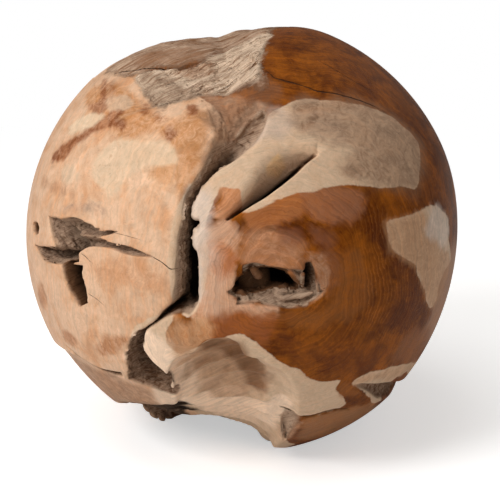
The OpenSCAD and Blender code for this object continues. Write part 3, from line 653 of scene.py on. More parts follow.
class Skin:
    """Mesh of a distance field: cells near the surface, surface nets, then points drawn onto it."""

    COARSE = 6.0

    @property
    def ratio(self) -> int:
        return 4

    def __init__(self, ball: RootBall) -> None:
        self.ball = ball

    def build(self) -> tuple[np.ndarray, np.ndarray]:
        """Mesh the field.

        Returns:
            Vertices in mm around the ball's middle, and quads as rows of vertex numbers.
        """
        n = int(math.ceil(2 * (BALL_R + 9.0) / self.COARSE))
        low = np.full(3, -0.5 * n * self.COARSE)
        axis = np.arange(n) + 0.5
        cells = np.stack(np.meshgrid(axis, axis, axis, indexing="ij"), -1).reshape(-1, 3)
        p = low + cells * self.COARSE
        rho = np.linalg.norm(p, axis=1)
        keep = (rho < BALL_R + 7.0) & (rho > BALL_R - 95.0) & (p[:, 2] > -MIDDLE_H - 6.0)
        d = np.where(rho > BALL_R - 50.0, 99.0, -99.0)
        d[keep] = self.values(p[keep])
        near = (np.abs(d) < self.COARSE * 1.35 + 1.5) | self.beside(d.reshape(n, n, n) < 0).ravel()
        start = np.round((p[near] - low) / self.COARSE - 0.5).astype(np.int64) * self.ratio
        r = self.ratio
        inner = np.stack(np.meshgrid(*[np.arange(r)] * 3, indexing="ij"), -1).reshape(-1, 3)
        cubes = (start[:, None, :] + inner[None]).reshape(-1, 3)
        size = n * r + 1
        step = self.COARSE / r
        weight = np.array([size * size, size, 1])
        corner = np.array([[i, j, k] for i in (0, 1) for j in (0, 1) for k in (0, 1)])
        ids = (cubes @ weight)[:, None] + (corner @ weight)[None]
        nodes, where = np.unique(ids, return_inverse=True)
        where = where.reshape(ids.shape)
        at = np.stack([nodes // (size * size), nodes // size % size, nodes % size], 1)
        value = self.values(low + at * step)
        v = value[where]
        inside = v < 0
        live = inside.any(1) & ~inside.all(1)
        cubes, v, where = cubes[live], v[live], where[live]
        edges = [(a, b) for a in range(8) for b in range(a + 1, 8) if bin(a ^ b).count("1") == 1]
        total, count = np.zeros((len(cubes), 3)), np.zeros(len(cubes))
        for a, b in edges:
            cut = (v[:, a] < 0) != (v[:, b] < 0)
            t = np.where(cut, v[:, a] / np.where(cut, v[:, a] - v[:, b], 1.0), 0.0)
            spot = corner[a] + t[:, None] * (corner[b] - corner[a])
            total += np.where(cut[:, None], spot, 0.0)
            count += cut
        points = low + (cubes + total / count[:, None]) * step
        number = {}
        key = cubes @ weight
        order = np.argsort(key)
        sorted_key = key[order]

        def vertex(k: np.ndarray) -> np.ndarray:
            """Numbers of the cells' points, -1 where a cell has none."""
            place = np.clip(np.searchsorted(sorted_key, k), 0, len(sorted_key) - 1)
            found = sorted_key[place] == k
            return np.where(found, order[place], -1)

        quads = []
        for axis_no in range(3):
            far = {0: 4, 1: 2, 2: 1}[axis_no]
            cut = (v[:, 0] < 0) != (v[:, far] < 0)
            rows = np.nonzero(cut)[0]
            one, two = [w for w in range(3) if w != axis_no]
            k0 = key[rows]
            a, b, c, d = k0, k0 - weight[one], k0 - weight[one] - weight[two], k0 - weight[two]
            quad = np.stack([vertex(x) for x in (a, b, c, d)], 1)
            good = (quad >= 0).all(1)
            quad, rows = quad[good], rows[good]
            flip = (v[rows, 0] < 0) == (axis_no == 1)
            quad[flip] = quad[flip][:, ::-1]
            quads.append(quad)
        return points, np.vstack(quads)

    @staticmethod
    def beside(inside: np.ndarray) -> np.ndarray:
        """Which coarse cells lie next to a change from wood to air."""
        found = np.zeros_like(inside)
        for axis in range(3):
            a, b = np.moveaxis(inside, axis, 0)[:-1], np.moveaxis(inside, axis, 0)[1:]
            way = np.moveaxis(found, axis, 0)
            way[:-1] |= a != b
            way[1:] |= a != b
        grown = found.copy()
        for axis in range(3):
            old, new = np.moveaxis(found, axis, 0), np.moveaxis(grown, axis, 0)
            new[:-1] |= old[1:]
            new[1:] |= old[:-1]
        return grown

    def values(self, p: np.ndarray, lot: int = 400_000) -> np.ndarray:
        """The field at many points, worked out in lots."""
        return np.concatenate([self.ball.distance(p[i : i + lot])[0] for i in range(0, len(p), lot)])


Colour = tuple[float, float, float]


def srgb(r: int, g: int, b: int) -> Colour:
    """Linear colour of an 8-bit display colour."""
    def line(c: int) -> float:
        """One channel, from 0 to 1."""
        v = c / 255
        return v / 12.92 if v <= 0.04045 else ((v + 0.055) / 1.055) ** 2.4

    return line(r), line(g), line(b)


@dataclass(frozen=True)
class Check:
    """Hairline drying check in the wood, through a few places; width is at its middle, in mm."""

    width: float
    places: tuple[tuple[float, float], ...]

    def measure(self, n: np.ndarray) -> tuple[np.ndarray, np.ndarray, np.ndarray]:
        """Returns:
            The plain distance, the distance with a sign for the side, and half the width there.
        """
        at = np.array(self.places, float)
        line = toward(at[:, 0], at[:, 1])
        best = np.full(len(n), 1e9)
        signed, half = np.full(len(n), 1e9), np.full(len(n), -2.0)
        count = len(line) - 1
        for i in range(count):
            a, b = line[i], line[i + 1]
            t = np.clip(((n - a) @ (b - a)) / ((b - a) @ (b - a)), 0, 1)
            away = BALL_R * np.linalg.norm(n - a - t[:, None] * (b - a), axis=1)
            side = np.cross(b - a, a)
            closer = away < best
            best[closer] = away[closer]
            signed[closer] = (BALL_R * (n @ (side / np.linalg.norm(side))))[closer]
            share = (i + t) / count
            taper = 0.5 * self.width * np.minimum(1.0, 5.0 * np.minimum(share, 1 - share)) - 0.15
            half[closer] = taper[closer]
        return best, signed, np.where(best > 6.0, half - 0.6 * (best - 6.0), half)


CREAM = (
    Patch("upper_lobe", (
        (2, 41), (5, 46), (10, 48), (18.5, 51.5), (29, 51.5), (39.5, 49.5), (49, 47), (58, 43),
        (63, 37.5), (65.5, 32), (60, 26.5), (54.5, 22.5), (48.5, 24.5), (42.5, 25), (34.5, 26.5),
        (27, 27.5), (20.5, 27.5), (13.5, 27), (7.5, 25), (2, 23), (-0.7, 22.4), (-0.6, 25), (-0.8, 28.6),
        (-3.5, 29), (-6.6, 29), (-8, 25.5), (-9.2, 22), (-9.4, 17), (-8.8, 12), (-8.8, 7), (-9.6, 3), (-11.5, -1.5),
        (-14, -4), (-17.5, 0), (-19, 8), (-19, 16), (-17.5, 24), (-14, 31), (-8, 37),
    )),
    Patch("right_patch", (
        (40, 16.5), (46, 17), (52.5, 16.5), (58.5, 17), (64, 14.5), (68.5, 11), (68, 5.5),
        (70.5, -0.5), (65.5, -2), (62.5, -4), (61, -9), (58, -10.5), (54.5, -7.5), (52.5, -3),
        (49, 1), (48.5, 4), (44, 7.5), (40.5, 9.5),
    )),
    Patch("scoop_band", (
        (-29, -9), (-26, -6), (-22, -3.5), (-18.5, -3.2), (-17, -5), (-19, -7.3), (-20, -10), (-18.8, -12.8),
        (-16, -14), (-13, -12.5), (-11, -11), (-8.5, -11.5), (-6.5, -10.8), (-4.6, -8.6), (-1, -7), (3, -9),
        (7, -13), (10.5, -17), (14, -18.5), (18, -21), (23.5, -23.5), (27.5, -24), (27, -27), (29.5, -29.5),
        (33, -33.5), (32.3, -35.4), (28.6, -36.8), (20.5, -37.6), (16, -37.8), (13.2, -40), (14.6, -45),
        (17.5, -50), (20, -53), (25, -57), (22, -64), (10, -68), (-10, -70), (-34, -60), (-31, -44),
        (-26, -34), (-27.5, -25), (-31, -19),
    )),
    Patch("lip_edge", (
        (31.5, -25.6), (35, -24.2), (39.5, -23.6), (50, -24.8), (60, -28), (72, -33), (70, -36), (60, -31.5),
        (51, -31), (52, -35), (56, -41), (50, -39.5), (44, -35.5), (39, -31.5), (35, -28.5),
    )),
)
SCOOPED = Patch("scooped", (
    (-21, -12), (-15, -12.5), (-9, -10.5), (-3, -8.5), (1, -12), (5, -17), (9, -24), (12, -32), (10, -42), (4, -56),
    (-14, -62), (-26, -50), (-24, -34), (-22, -24),
))
RINGED = (
    Patch("right_rings", ((32, 20), (38, 21), (42, 14), (52, 6), (55, -6), (50, -14), (36, -14), (30, -4), (32, 8))),
    Patch("left_rings", ((-62, 34), (-40, 40), (-26, 34), (-20, 20), (-18, -2), (-40, -4), (-50, 22))),
    Patch("lower_rings", ((-70, -4), (-30, 6), (-20, -4), (-34, -30), (-60, -34), (-76, -20))),
    Patch("back_rings", ((110, 40), (150, 44), (178, 20), (160, -30), (120, -34), (100, 0))),
)
LEFT_MASS = Patch("left_mass", (
    (-150, 40), (-110, 56), (-60, 58), (-30, 57), (-16, 54), (-8, 49), (-6, 43), (-11, 33), (-15, 28), (-14.5, 20),
    (-14, 10), (-14.5, 2), (-18, -4), (-24, -9), (-28, -18), (-26, -28), (-24, -38), (-30, -62),
    (-90, -78), (-150, -50), (-172, -20), (-168, 10),
))
CREST = Patch("crest", (
    (-95, 52), (-75, 53), (-63, 57), (-58, 60.5), (-52, 63.5), (-46, 66.5), (-40, 72), (-42, 77), (-20, 79),
    (10, 76), (4, 68), (3, 60), (7, 56), (11, 58), (11.5, 63), (11, 67), (16, 71), (30, 77), (90, 83),
    (150, 64), (180, 50), (-165, 44),
    (-150, 60), (-120, 62),
))

@dataclass(frozen=True)
class StainAndPaintedLight:
    """Soft-edged place where the surface gets another colour: mostly one that the wood has, in a few places painted
    shade and in one a painted highlight.

    cover is how much of the wood's own colour it hides, soft is the width of its edge in mm, and broken is how
    much the grain breaks it up.
    """

    colour: Colour
    cover: float
    soft: float
    broken: float
    outline: tuple[tuple[float, float], ...]


RUST, ROSE = srgb(124, 58, 12), srgb(216, 170, 138)
UMBER, DUN, ASH = srgb(120, 84, 60), srgb(150, 112, 84), srgb(168, 138, 118)
# FROST_AND_GLINT is a frosty pale of the wood, and on the right cream patch a painted highlight.
BONE, PEARL, FROST_AND_GLINT = srgb(204, 178, 152), srgb(190, 170, 156), srgb(216, 198, 184)
# On the ground wood
LOW_STAINS = (
    StainAndPaintedLight(srgb(182, 122, 70), 0.9, 5.0, 0.6, (
        (-80, 43), (-76, 49), (-59, 52), (-47, 51), (-35, 47), (-23, 46), (-14, 52), (-11, 43), (-12, 37),
        (-14, 30), (-17, 25), (-20, 30), (-20, 36), (-23, 38.5), (-30, 41), (-44, 39), (-53, 40), (-62, 42),
    )),
    StainAndPaintedLight(srgb(192, 136, 88), 0.85, 5.0, 0.5, ((-29, 32), (-24, 35), (-20, 33), (-20, 29), (-25, 28))),
    StainAndPaintedLight(srgb(180, 132, 98), 0.85, 5.0, 0.6, ((-74, 20), (-64, 22), (-56, 23), (-51, 22), (-56, 20), (-65, 19))),
    StainAndPaintedLight(srgb(198, 144, 104), 0.8, 6.0, 0.5, ((-40, 8), (-29, 9), (-19, 7), (-18, 3), (-26, 3), (-40, 3))),
    StainAndPaintedLight(srgb(216, 190, 160), 0.8, 1.5, 0.25, (
        (-49, 31), (-46, 35), (-44, 37.5), (-38, 38.5), (-31, 39.5), (-26, 39.5), (-22, 38), (-20, 35), (-24, 33),
        (-31, 31), (-35, 28), (-36, 24), (-41, 24), (-46, 27),
    )),
    StainAndPaintedLight(srgb(220, 196, 166), 0.85, 1.5, 0.2, (
        (-72, 36), (-67, 40), (-61, 43), (-55, 42), (-57, 39), (-63, 36), (-68, 34),
    )),
    StainAndPaintedLight(srgb(206, 180, 152), 0.7, 1.5, 0.2, ((-62, 26), (-57, 27.5), (-53, 26), (-54, 23.5), (-59, 23))),
    StainAndPaintedLight(BONE, 0.7, 1.5, 0.2, ((-62, 47), (-54, 50), (-47, 49), (-50, 45), (-58, 44.5))),
    StainAndPaintedLight(RUST, 0.95, 1.5, 0.5, (
        (-73, 26), (-67, 27), (-63, 29), (-61, 33), (-56, 36.5), (-51, 39.5), (-47, 40.5), (-43, 40.5), (-44, 43),
        (-48, 43.5), (-48, 45.5), (-53, 44.5), (-56, 41), (-59, 38), (-64, 35), (-68, 32),
    )),
    StainAndPaintedLight(RUST, 0.85, 1.0, 0.6, ((-81, 50), (-75, 51), (-67, 48.5), (-61, 46), (-63, 44.5), (-70, 47.5))),
    StainAndPaintedLight(RUST, 0.5, 1.0, 0.6, ((-72, 50.5), (-69, 51.5), (-61, 49), (-60, 47))),
    StainAndPaintedLight(RUST, 0.85, 1.3, 0.3, ((-22, 51), (-21, 52), (-18.5, 51), (-17.5, 49.5), (-18.5, 48), (-20.5, 48.5))),
    StainAndPaintedLight(RUST, 0.8, 1.8, 0.8, ((-45, 49), (-43, 50.5), (-37, 47.5), (-37, 46), (-40, 45.5))),
    StainAndPaintedLight(RUST, 0.95, 1.4, 0.5, ((-27, 42.5), (-25.5, 43.5), (-22.5, 41.5), (-24.5, 40), (-26, 41))),
    StainAndPaintedLight(RUST, 0.9, 1.8, 0.45, ((-69, 42.5), (-65, 45), (-58, 45), (-60, 42.5))),
    StainAndPaintedLight(RUST, 0.6, 1.6, 0.8, ((-34, 47), (-31, 47.5), (-28, 45), (-30, 44))),
    StainAndPaintedLight(srgb(164, 102, 56), 0.85, 2.0, 0.6, (
        (-41, -16), (-37, -12), (-32, -10.5), (-29.5, -11), (-31.5, -14), (-37, -17.5), (-41, -19.5),
    )),
    StainAndPaintedLight(srgb(166, 104, 58), 0.8, 2.0, 0.5, ((-58, -17.5), (-54, -16), (-50.5, -17.5), (-53.5, -20), (-58, -20))),
    StainAndPaintedLight(srgb(168, 106, 58), 0.8, 2.0, 0.5, ((-68, -6.5), (-63.5, -5), (-62.5, -9.5), (-67, -13), (-70, -12.5))),
    StainAndPaintedLight(ASH, 0.6, 1.6, 0.6, ((-56, 17), (-49, 19.5), (-41, 21), (-38, 19.5), (-41, 18), (-47, 18.5), (-52, 16))),
    StainAndPaintedLight(ROSE, 0.95, 2.5, 0.45, (
        (-13, 24), (-9, 20), (-7, 21), (-3, 22), (0, 18), (-1.5, 11), (-1.8, 5), (-0.8, 1.6),
        (4.5, 0.5), (8.5, -0.5), (7.5, -3), (4.5, -3.5), (-1, -1.5), (-5, -3.5), (-10, -5), (-14, -3), (-12, 8),
    )),
    StainAndPaintedLight(srgb(206, 150, 112), 0.9, 6.0, 0.6, ((-1, 18), (5, 20), (11, 18), (15, 15), (15, 9), (10, 9), (0, 11))),
    StainAndPaintedLight(srgb(186, 110, 66), 0.8, 3.0, 0.6, ((-9, 14), (-7, 16), (-4, 15), (-1, 13), (-2, 9), (-5, 7.5), (-8, 9))),
    StainAndPaintedLight(srgb(224, 162, 120), 0.9, 2.0, 0.5, (
        (-8, 32), (-0.5, 32), (0.5, 25.5), (-2, 22.5), (-5.5, 21), (-8, 22), (-6, 25), (-5, 27),
    )),
    StainAndPaintedLight(srgb(186, 118, 72), 0.8, 3.0, 0.5, ((-1, 23), (5, 28), (11, 29), (17, 30), (16, 22), (10, 20), (3, 18))),
    StainAndPaintedLight(srgb(154, 88, 50), 0.85, 3.0, 0.5, (
        (-9, -4), (-4.5, -2.5), (-1, -1), (4.5, -2.5), (8, -2.5), (7.5, -8), (5, -12), (0, -8), (-3, -8.5), (-7, -14),
    )),
    StainAndPaintedLight(srgb(204, 156, 116), 0.85, 3.5, 0.55, (
        (-20, -5.5), (-18, -3.5), (-14, -3), (-10.5, -3), (-7.5, -4.5), (-7, -7.5), (-9, -11), (-12.5, -13),
        (-17, -14), (-20, -11),
    )),
    StainAndPaintedLight(srgb(166, 112, 82), 0.8, 4.0, 0.45, ((15, 29), (28, 29), (34, 26), (31, 20), (23, 19), (18, 21))),
    StainAndPaintedLight(srgb(136, 86, 62), 0.7, 3.5, 0.4, ((17, 19), (22, 18), (24, 13), (18, 13))),
    StainAndPaintedLight(srgb(136, 88, 66), 0.7, 3.5, 0.5, ((8, 20), (15, 19), (14, 14.5), (9, 16))),
    StainAndPaintedLight(srgb(150, 96, 64), 0.75, 3.0, 0.6, (
        (19, 13), (23.5, 12.5), (26, 7.5), (23.5, 2), (20.5, 0.5), (20.5, 5.5), (20, 9.5),
    )),
    StainAndPaintedLight(srgb(196, 150, 118), 0.75, 1.6, 0.75, (
        (15.5, 12), (19, 12.5), (21.5, 9), (21.5, 5), (20, 1.5), (16.5, -0.5), (18, 4), (18, 7.5),
    )),
    StainAndPaintedLight(srgb(142, 86, 42), 0.8, 5.0, 0.6, (
        (24, 10), (27, 12), (33, 6), (32, -2), (26, -6), (19, -7), (12, -6), (9, -2), (17, -1), (22, 2),
    )),
    StainAndPaintedLight(srgb(92, 44, 18), 0.85, 4.0, 0.5, (
        (38, 18), (41, 12), (43.5, 8), (49.5, 5), (53, -3.5), (52, -11), (44, -14), (38, -9), (42, -2), (40, 5),
        (35, 12),
    )),
    StainAndPaintedLight(srgb(196, 150, 118), 0.8, 9.0, 0.5, (
        (70, 4), (79, 1), (86, -7), (82, -17), (73, -24), (64, -22), (57, -18), (60, -12), (63, -5),
    )),
    StainAndPaintedLight(srgb(162, 120, 90), 0.85, 5.0, 0.4, (
        (-66, -29), (-45, -27), (-33, -28), (-26, -32), (-20, -42), (-34, -52), (-60, -46),
    )),
    StainAndPaintedLight(srgb(150, 96, 60), 0.8, 6.0, 0.4, ((48, -14), (58, -16), (66, -24), (58, -30), (48, -24), (44, -19))),
    StainAndPaintedLight(srgb(172, 122, 82), 0.85, 3.0, 0.45, (
        (20, -38.3), (30, -37), (40, -37), (56, -42), (62, -50), (40, -54), (24, -52), (19.5, -46),
    )),
    StainAndPaintedLight(srgb(112, 58, 24), 0.55, 6.0, 0.7, ((6, -6), (20, -10), (36, -14), (44, -20), (30, -22), (14, -16))),
)
# Over everything but the raw wood; among them painted shade in the scoop and a painted highlight on the right cream
# patch
HIGH_STAINS_AND_PAINTED_LIGHT = (
    StainAndPaintedLight(srgb(140, 106, 82), 0.78, 9.0, 0.45, (
        (20, 52), (34, 51), (50, 49), (64, 40), (68, 30), (58, 22), (46, 24), (34, 27), (29, 31), (34, 36), (27, 41),
        (19, 44),
    )),
    StainAndPaintedLight(PEARL, 0.6, 6.0, 0.3, ((7, 50), (14, 51), (17, 46), (13, 42), (8, 43), (3, 40), (1, 45))),
    StainAndPaintedLight(FROST_AND_GLINT, 0.75, 4.5, 0.3, (
        (-16, 28), (-9.5, 29), (-8, 22), (-7.5, 14), (-9, 8), (-9.5, 2), (-13, 2), (-15, 22),
    )),
    StainAndPaintedLight(srgb(206, 168, 142), 0.65, 5.0, 0.5, ((-9, 20), (-6, 18), (-5, 10), (-6, 0), (-9, -2), (-10, 6), (-9.5, 14))),
    StainAndPaintedLight(srgb(154, 126, 104), 0.7, 7.0, 0.4, ((20, 50), (30, 50), (36, 46), (34, 38), (26, 40), (19, 45))),
    StainAndPaintedLight(srgb(190, 142, 104), 0.8, 3.0, 0.35, (
        (40, 17), (52, 16), (58, 14), (60, 6), (66, 2), (70, -2), (62, -10), (55, -9), (50, 0), (44, 7), (40, 9),
    )),
    StainAndPaintedLight(srgb(196, 150, 114), 0.75, 3.0, 0.4, ((33, -25.5), (44, -24), (60, -28), (72, -33), (60, -32), (42, -28))),
    # Painted highlight: a pale glint on the right cream patch.
    StainAndPaintedLight(FROST_AND_GLINT, 0.8, 4.0, 0.1, ((57, 16), (65, 14), (69, 8), (66, 5), (59, 8), (55, 11))),
    StainAndPaintedLight(srgb(232, 194, 158), 0.75, 3.0, 0.3, (
        (-2, 23), (0, 26.5), (5.5, 31), (10, 34.5), (15, 38), (18, 39.5), (22, 39), (23.5, 36), (19.5, 35.3),
        (12, 31.5), (6, 27.7), (0, 23.2),
    )),
    StainAndPaintedLight(srgb(246, 196, 134), 0.85, 2.5, 0.3, ((9, 37), (11, 38), (12.5, 35), (10.5, 33), (8, 34.5))),
    StainAndPaintedLight(UMBER, 0.8, 1.0, 0.4, ((19, 43.5), (21.5, 45.3), (25.5, 46.5), (31, 46.3), (25, 44.6), (20, 42.5))),
    StainAndPaintedLight(DUN, 0.75, 1.8, 0.4, ((20, 49), (27, 50), (37, 50), (47, 48), (36, 47.7), (26, 48))),
    StainAndPaintedLight(srgb(124, 82, 56), 0.8, 5.0, 0.5, (
        (-6, 58), (3, 61), (14, 60), (19, 56), (16, 52), (10, 50.5), (7, 49.5), (0.5, 53), (-4, 56),
    )),
    StainAndPaintedLight(srgb(176, 142, 116), 0.85, 3.5, 0.4, (
        (-12, 36), (-10, 41), (-7.5, 45), (-3, 50), (3.5, 53), (9, 52), (7, 48), (2, 43), (-3, 40), (-8.5, 37),
        (-11, 34),
    )),
    StainAndPaintedLight(srgb(190, 150, 120), 0.75, 5.0, 0.6, (
        (-20, 57), (-10, 57.5), (-4, 57), (0, 53), (-5, 47), (-9, 42), (-12, 38), (-13, 44), (-16, 51),
    )),
    StainAndPaintedLight(srgb(248, 218, 190), 0.9, 5.0, 0.3, (
        (-30, -10), (-24, -8), (-19, -13), (-16, -20), (-12, -30), (-4, -38), (6, -38), (12, -30), (15, -36),
        (12, -50), (0, -62), (-20, -60), (-28, -44), (-27, -26), (-31, -18),
    )),
    # Painted shade in the upper scoop, where the rim above would shade it: a mid-brown that is partly the wood's own
    # tan, then dark brown under the right rim.
    StainAndPaintedLight(srgb(186, 146, 114), 0.75, 8.0, 0.1, (
        (-17, -14), (-11.5, -12.5), (-3.5, -11), (1, -17), (5, -23), (6, -32), (0, -42), (-12, -43), (-17, -33),
    )),
    StainAndPaintedLight(srgb(128, 90, 62), 0.85, 8.0, 0.0, (
        (-5, -13.5), (-1.5, -10), (1, -11.5), (5.5, -20), (8, -24.5), (7.5, -31), (5, -34.5), (2, -33), (-1, -29),
        (-4, -24.5), (-7.5, -20.5), (-12, -18.5), (-12.5, -15), (-8, -13.5),
    )),
    # Painted shade: two thin dark lines along the shaded folds between the scoop's flutes.
    StainAndPaintedLight(srgb(104, 70, 44), 0.25, 4.0, 0.2, (
        (-1, -20), (-4.5, -27.5), (-10.5, -36.5), (-19.5, -43), (-16.5, -37.5), (-10.5, -33.5), (-5.5, -25.5),
    )),
    StainAndPaintedLight(srgb(112, 76, 48), 0.35, 5.0, 0.0, ((-5, -19.5), (-11.5, -24.5), (-18.5, -26.5), (-19, -24), (-12.5, -23))),
    StainAndPaintedLight(srgb(136, 108, 86), 0.75, 3.0, 0.6, (
        (-57, 56), (-59, 60), (-36, 60), (-22, 60), (-21, 54.5), (-28.5, 52), (-31, 48), (-38.5, 49), (-47, 52),
    )),
    StainAndPaintedLight(srgb(156, 116, 88), 0.7, 4.0, 0.6, (
        (-78, 60), (-87, 67), (-65, 74), (-25, 71), (-22, 68), (-38, 63.5), (-57, 63), (-62, 60),
    )),
    StainAndPaintedLight(srgb(142, 82, 32), 0.9, 1.5, 0.2, ((27, -26.5), (29, -25), (32, -26.5), (37, -31), (34, -32), (29.5, -30))),
    StainAndPaintedLight(srgb(194, 152, 122), 0.8, 2.5, 0.6, ((13.5, -47), (14, -44), (20, -39), (21, -43), (19, -50), (16.5, -52))),
)
CHECKS = (
    Check(1.3, ((11.5, 65), (15.5, 60), (23.5, 57.5), (32.5, 54), (44.5, 50.5), (53.5, 46.5), (60, 42))),
    Check(0.8, ((47, 65), (50.5, 59.5), (55.5, 54), (63, 47))),
    Check(0.9, ((-23.5, 11), (-21, 10), (-18, 8.5), (-16, 8.5))),
    Check(0.5, ((-36, 15.4), (-31, 15), (-26, 14.4))),
    Check(0.6, ((-43, -1.6), (-40, -2.4), (-36, -4.2))),
    Check(0.8, ((-45.5, 8), (-43.5, 7.4), (-41, 6.2))),
    Check(1.5, ((-79, 52.5), (-69, 57), (-60, 61), (-47, 64))),
    Check(2.2, ((13, -37), (18, -37), (22, -37.3), (26.5, -36.4), (33, -36.4))),
    Check(0.7, ((118, 30), (125, 12), (128, -8), (136, -22))),
    Check(0.8, ((-120, 34), (-126, 16), (-124, -4))),
    Check(0.6, ((165, 25), (170, 8), (166, -12))),
)


class Figure:
    """The wood's figure at each vertex: zones, growth rings, weathering, dirt and painted light, and the depth that
    sets the painted shade in the hollows.
    """

    def __init__(self, ball: RootBall) -> None:
        self.ball = ball
        self.noise = ball.noise

    def rings(self, p: np.ndarray, n: np.ndarray) -> dict[str, np.ndarray]:
        """Growth-ring radius in mm for the left mass, the right mass, the weathered top and the scoop."""
        sway = 7.0 * self.noise(p / 75.0, 2.0) + 3.0 * self.noise(p / 30.0, 4.0)
        out, up = toward(-46.0, 0.0), p[:, 2]
        low = 0.965 * np.sqrt(np.maximum(BALL_R**2 - up**2, 0.0))
        pith = np.where(up > 12.0, 0.97 * BALL_R - 0.6 * (up - 12.0), low)
        left = np.hypot(p @ out - pith, 0.9 * (p @ np.cross(out, [0.0, 0.0, 1.0]))) + 0.6 * sway
        knot = toward(9.0, 4.5)
        right = BALL_R * np.arccos(np.clip(n @ knot, -1, 1)) + 2.0 * sway + 4.0 * self.noise(p / 22.0, 6.0)
        fibre = toward(17.0, 74.0) - toward(-38.0, 49.0)
        across = np.cross(fibre, toward(-15.0, 66.0))
        top = p @ (across / np.linalg.norm(across)) + 0.5 * sway
        scoop = p @ np.array([-0.42, 0.2, 0.89]) + 0.4 * sway
        return {"ring_left": left, "ring_right": right, "ring_top": top, "ring_scoop": scoop}

    @staticmethod
    def colour_layers(name: str, colour_layers: tuple[StainAndPaintedLight, ...], n: np.ndarray, wobble: np.ndarray) -> dict[str, np.ndarray]:
        """Lay colour layers over each other: mostly the wood's own, in places painted shade and a painted highlight.

        Returns:
            Their colour, how much they cover, and how broken up they are, at each vertex.
        """
        colour, near = np.zeros((len(n), 3)), np.zeros((len(n), 3))
        cover, broken, best = np.zeros(len(n)), np.zeros(len(n)), np.full(len(n), -1e9)
        for stain in colour_layers:
            d = Patch("stain", stain.outline).distance(n) + min(2.8, 0.8 * stain.soft) * wobble
            share = stain.cover * ramp(d, -stain.soft, stain.soft)
            colour = colour * (1 - share[:, None]) + share[:, None] * np.array(stain.colour)
            broken = broken * (1 - share) + share * stain.broken
            cover = 1 - (1 - cover) * (1 - share)
            near[d > best] = stain.colour
            best = np.maximum(best, d)
        part = np.maximum(cover, 1e-3)
        colour = np.where(cover[:, None] > 1e-3, colour / part[:, None], near)
        return {name + "_colour": colour, name + "_cover": cover, name + "_broken": broken / part}

    def fields(self, p: np.ndarray, walls: dict[str, np.ndarray]) -> dict[str, np.ndarray]:
        """Every field that the wood's material reads.

        Args:
            p: vertices in mm around the ball's middle.
            walls: distance to each hollow's wall.

        Returns:
            One number at each vertex under each field's name.
        """
        rho = np.linalg.norm(p, axis=1)
        n = p / rho[:, None]
        wobble = 2.2 * self.noise(p / 14.0, 11.0) + 1.0 * self.noise(p / 5.0, 12.0)
        deep = np.maximum(-self.ball.ground(p), 0.0)

        def union(patches: tuple[Patch, ...], amount: float = 1.0) -> np.ndarray:
            """How far inside the nearest of some zones each vertex lies, in mm."""
            return np.clip(np.max([q.distance(n) for q in patches], 0) + amount * wobble, -40, 40)

        raw, pale = np.zeros((2, len(p)), np.float32)
        for hollow in HOLLOWS:
            touch = (1 - ramp(walls[hollow.name], 0.2, 2.6)) * ramp(deep, 0.5, 4.0)
            pale = np.where(touch > 0.5 * raw, hollow.wall.pale, pale)
            raw = np.maximum(raw, hollow.wall.raw * touch)
        raw = np.maximum(raw, 1 - ramp(walls["foot_hollow"], 0.5, 3.0))
        raw = np.maximum(raw, 1 - ramp(walls["stub"], 0.2, 2.0))
        out = {
            "cream": union(CREAM), "tan": union((LEFT_MASS,), 0.6), "weathered": union((TORN,), 0.8),
            "crest": union((CREST,), 1.5), "ringed": union(RINGED), "scooped": SCOOPED.distance(n),
            "raw": raw, "pale": pale, "deep": deep,
            **self.colour_layers("low", LOW_STAINS, n, wobble), **self.colour_layers("high", HIGH_STAINS_AND_PAINTED_LIGHT, n, wobble),
        }
        near = np.full(len(p), 1e9)
        side, half = np.full(len(p), 40.0), np.full(len(p), -2.0)
        for check in CHECKS:
            away, signed, width = check.measure(n)
            mine = away < near
            near[mine], side[mine], half[mine] = away[mine], signed[mine], width[mine]
        out["check_side"] = np.clip(side + 0.5 * wobble, -40, 40)
        out["check_half"] = np.clip(half, -10, 10)
        out.update(self.rings(p, n))
        return out
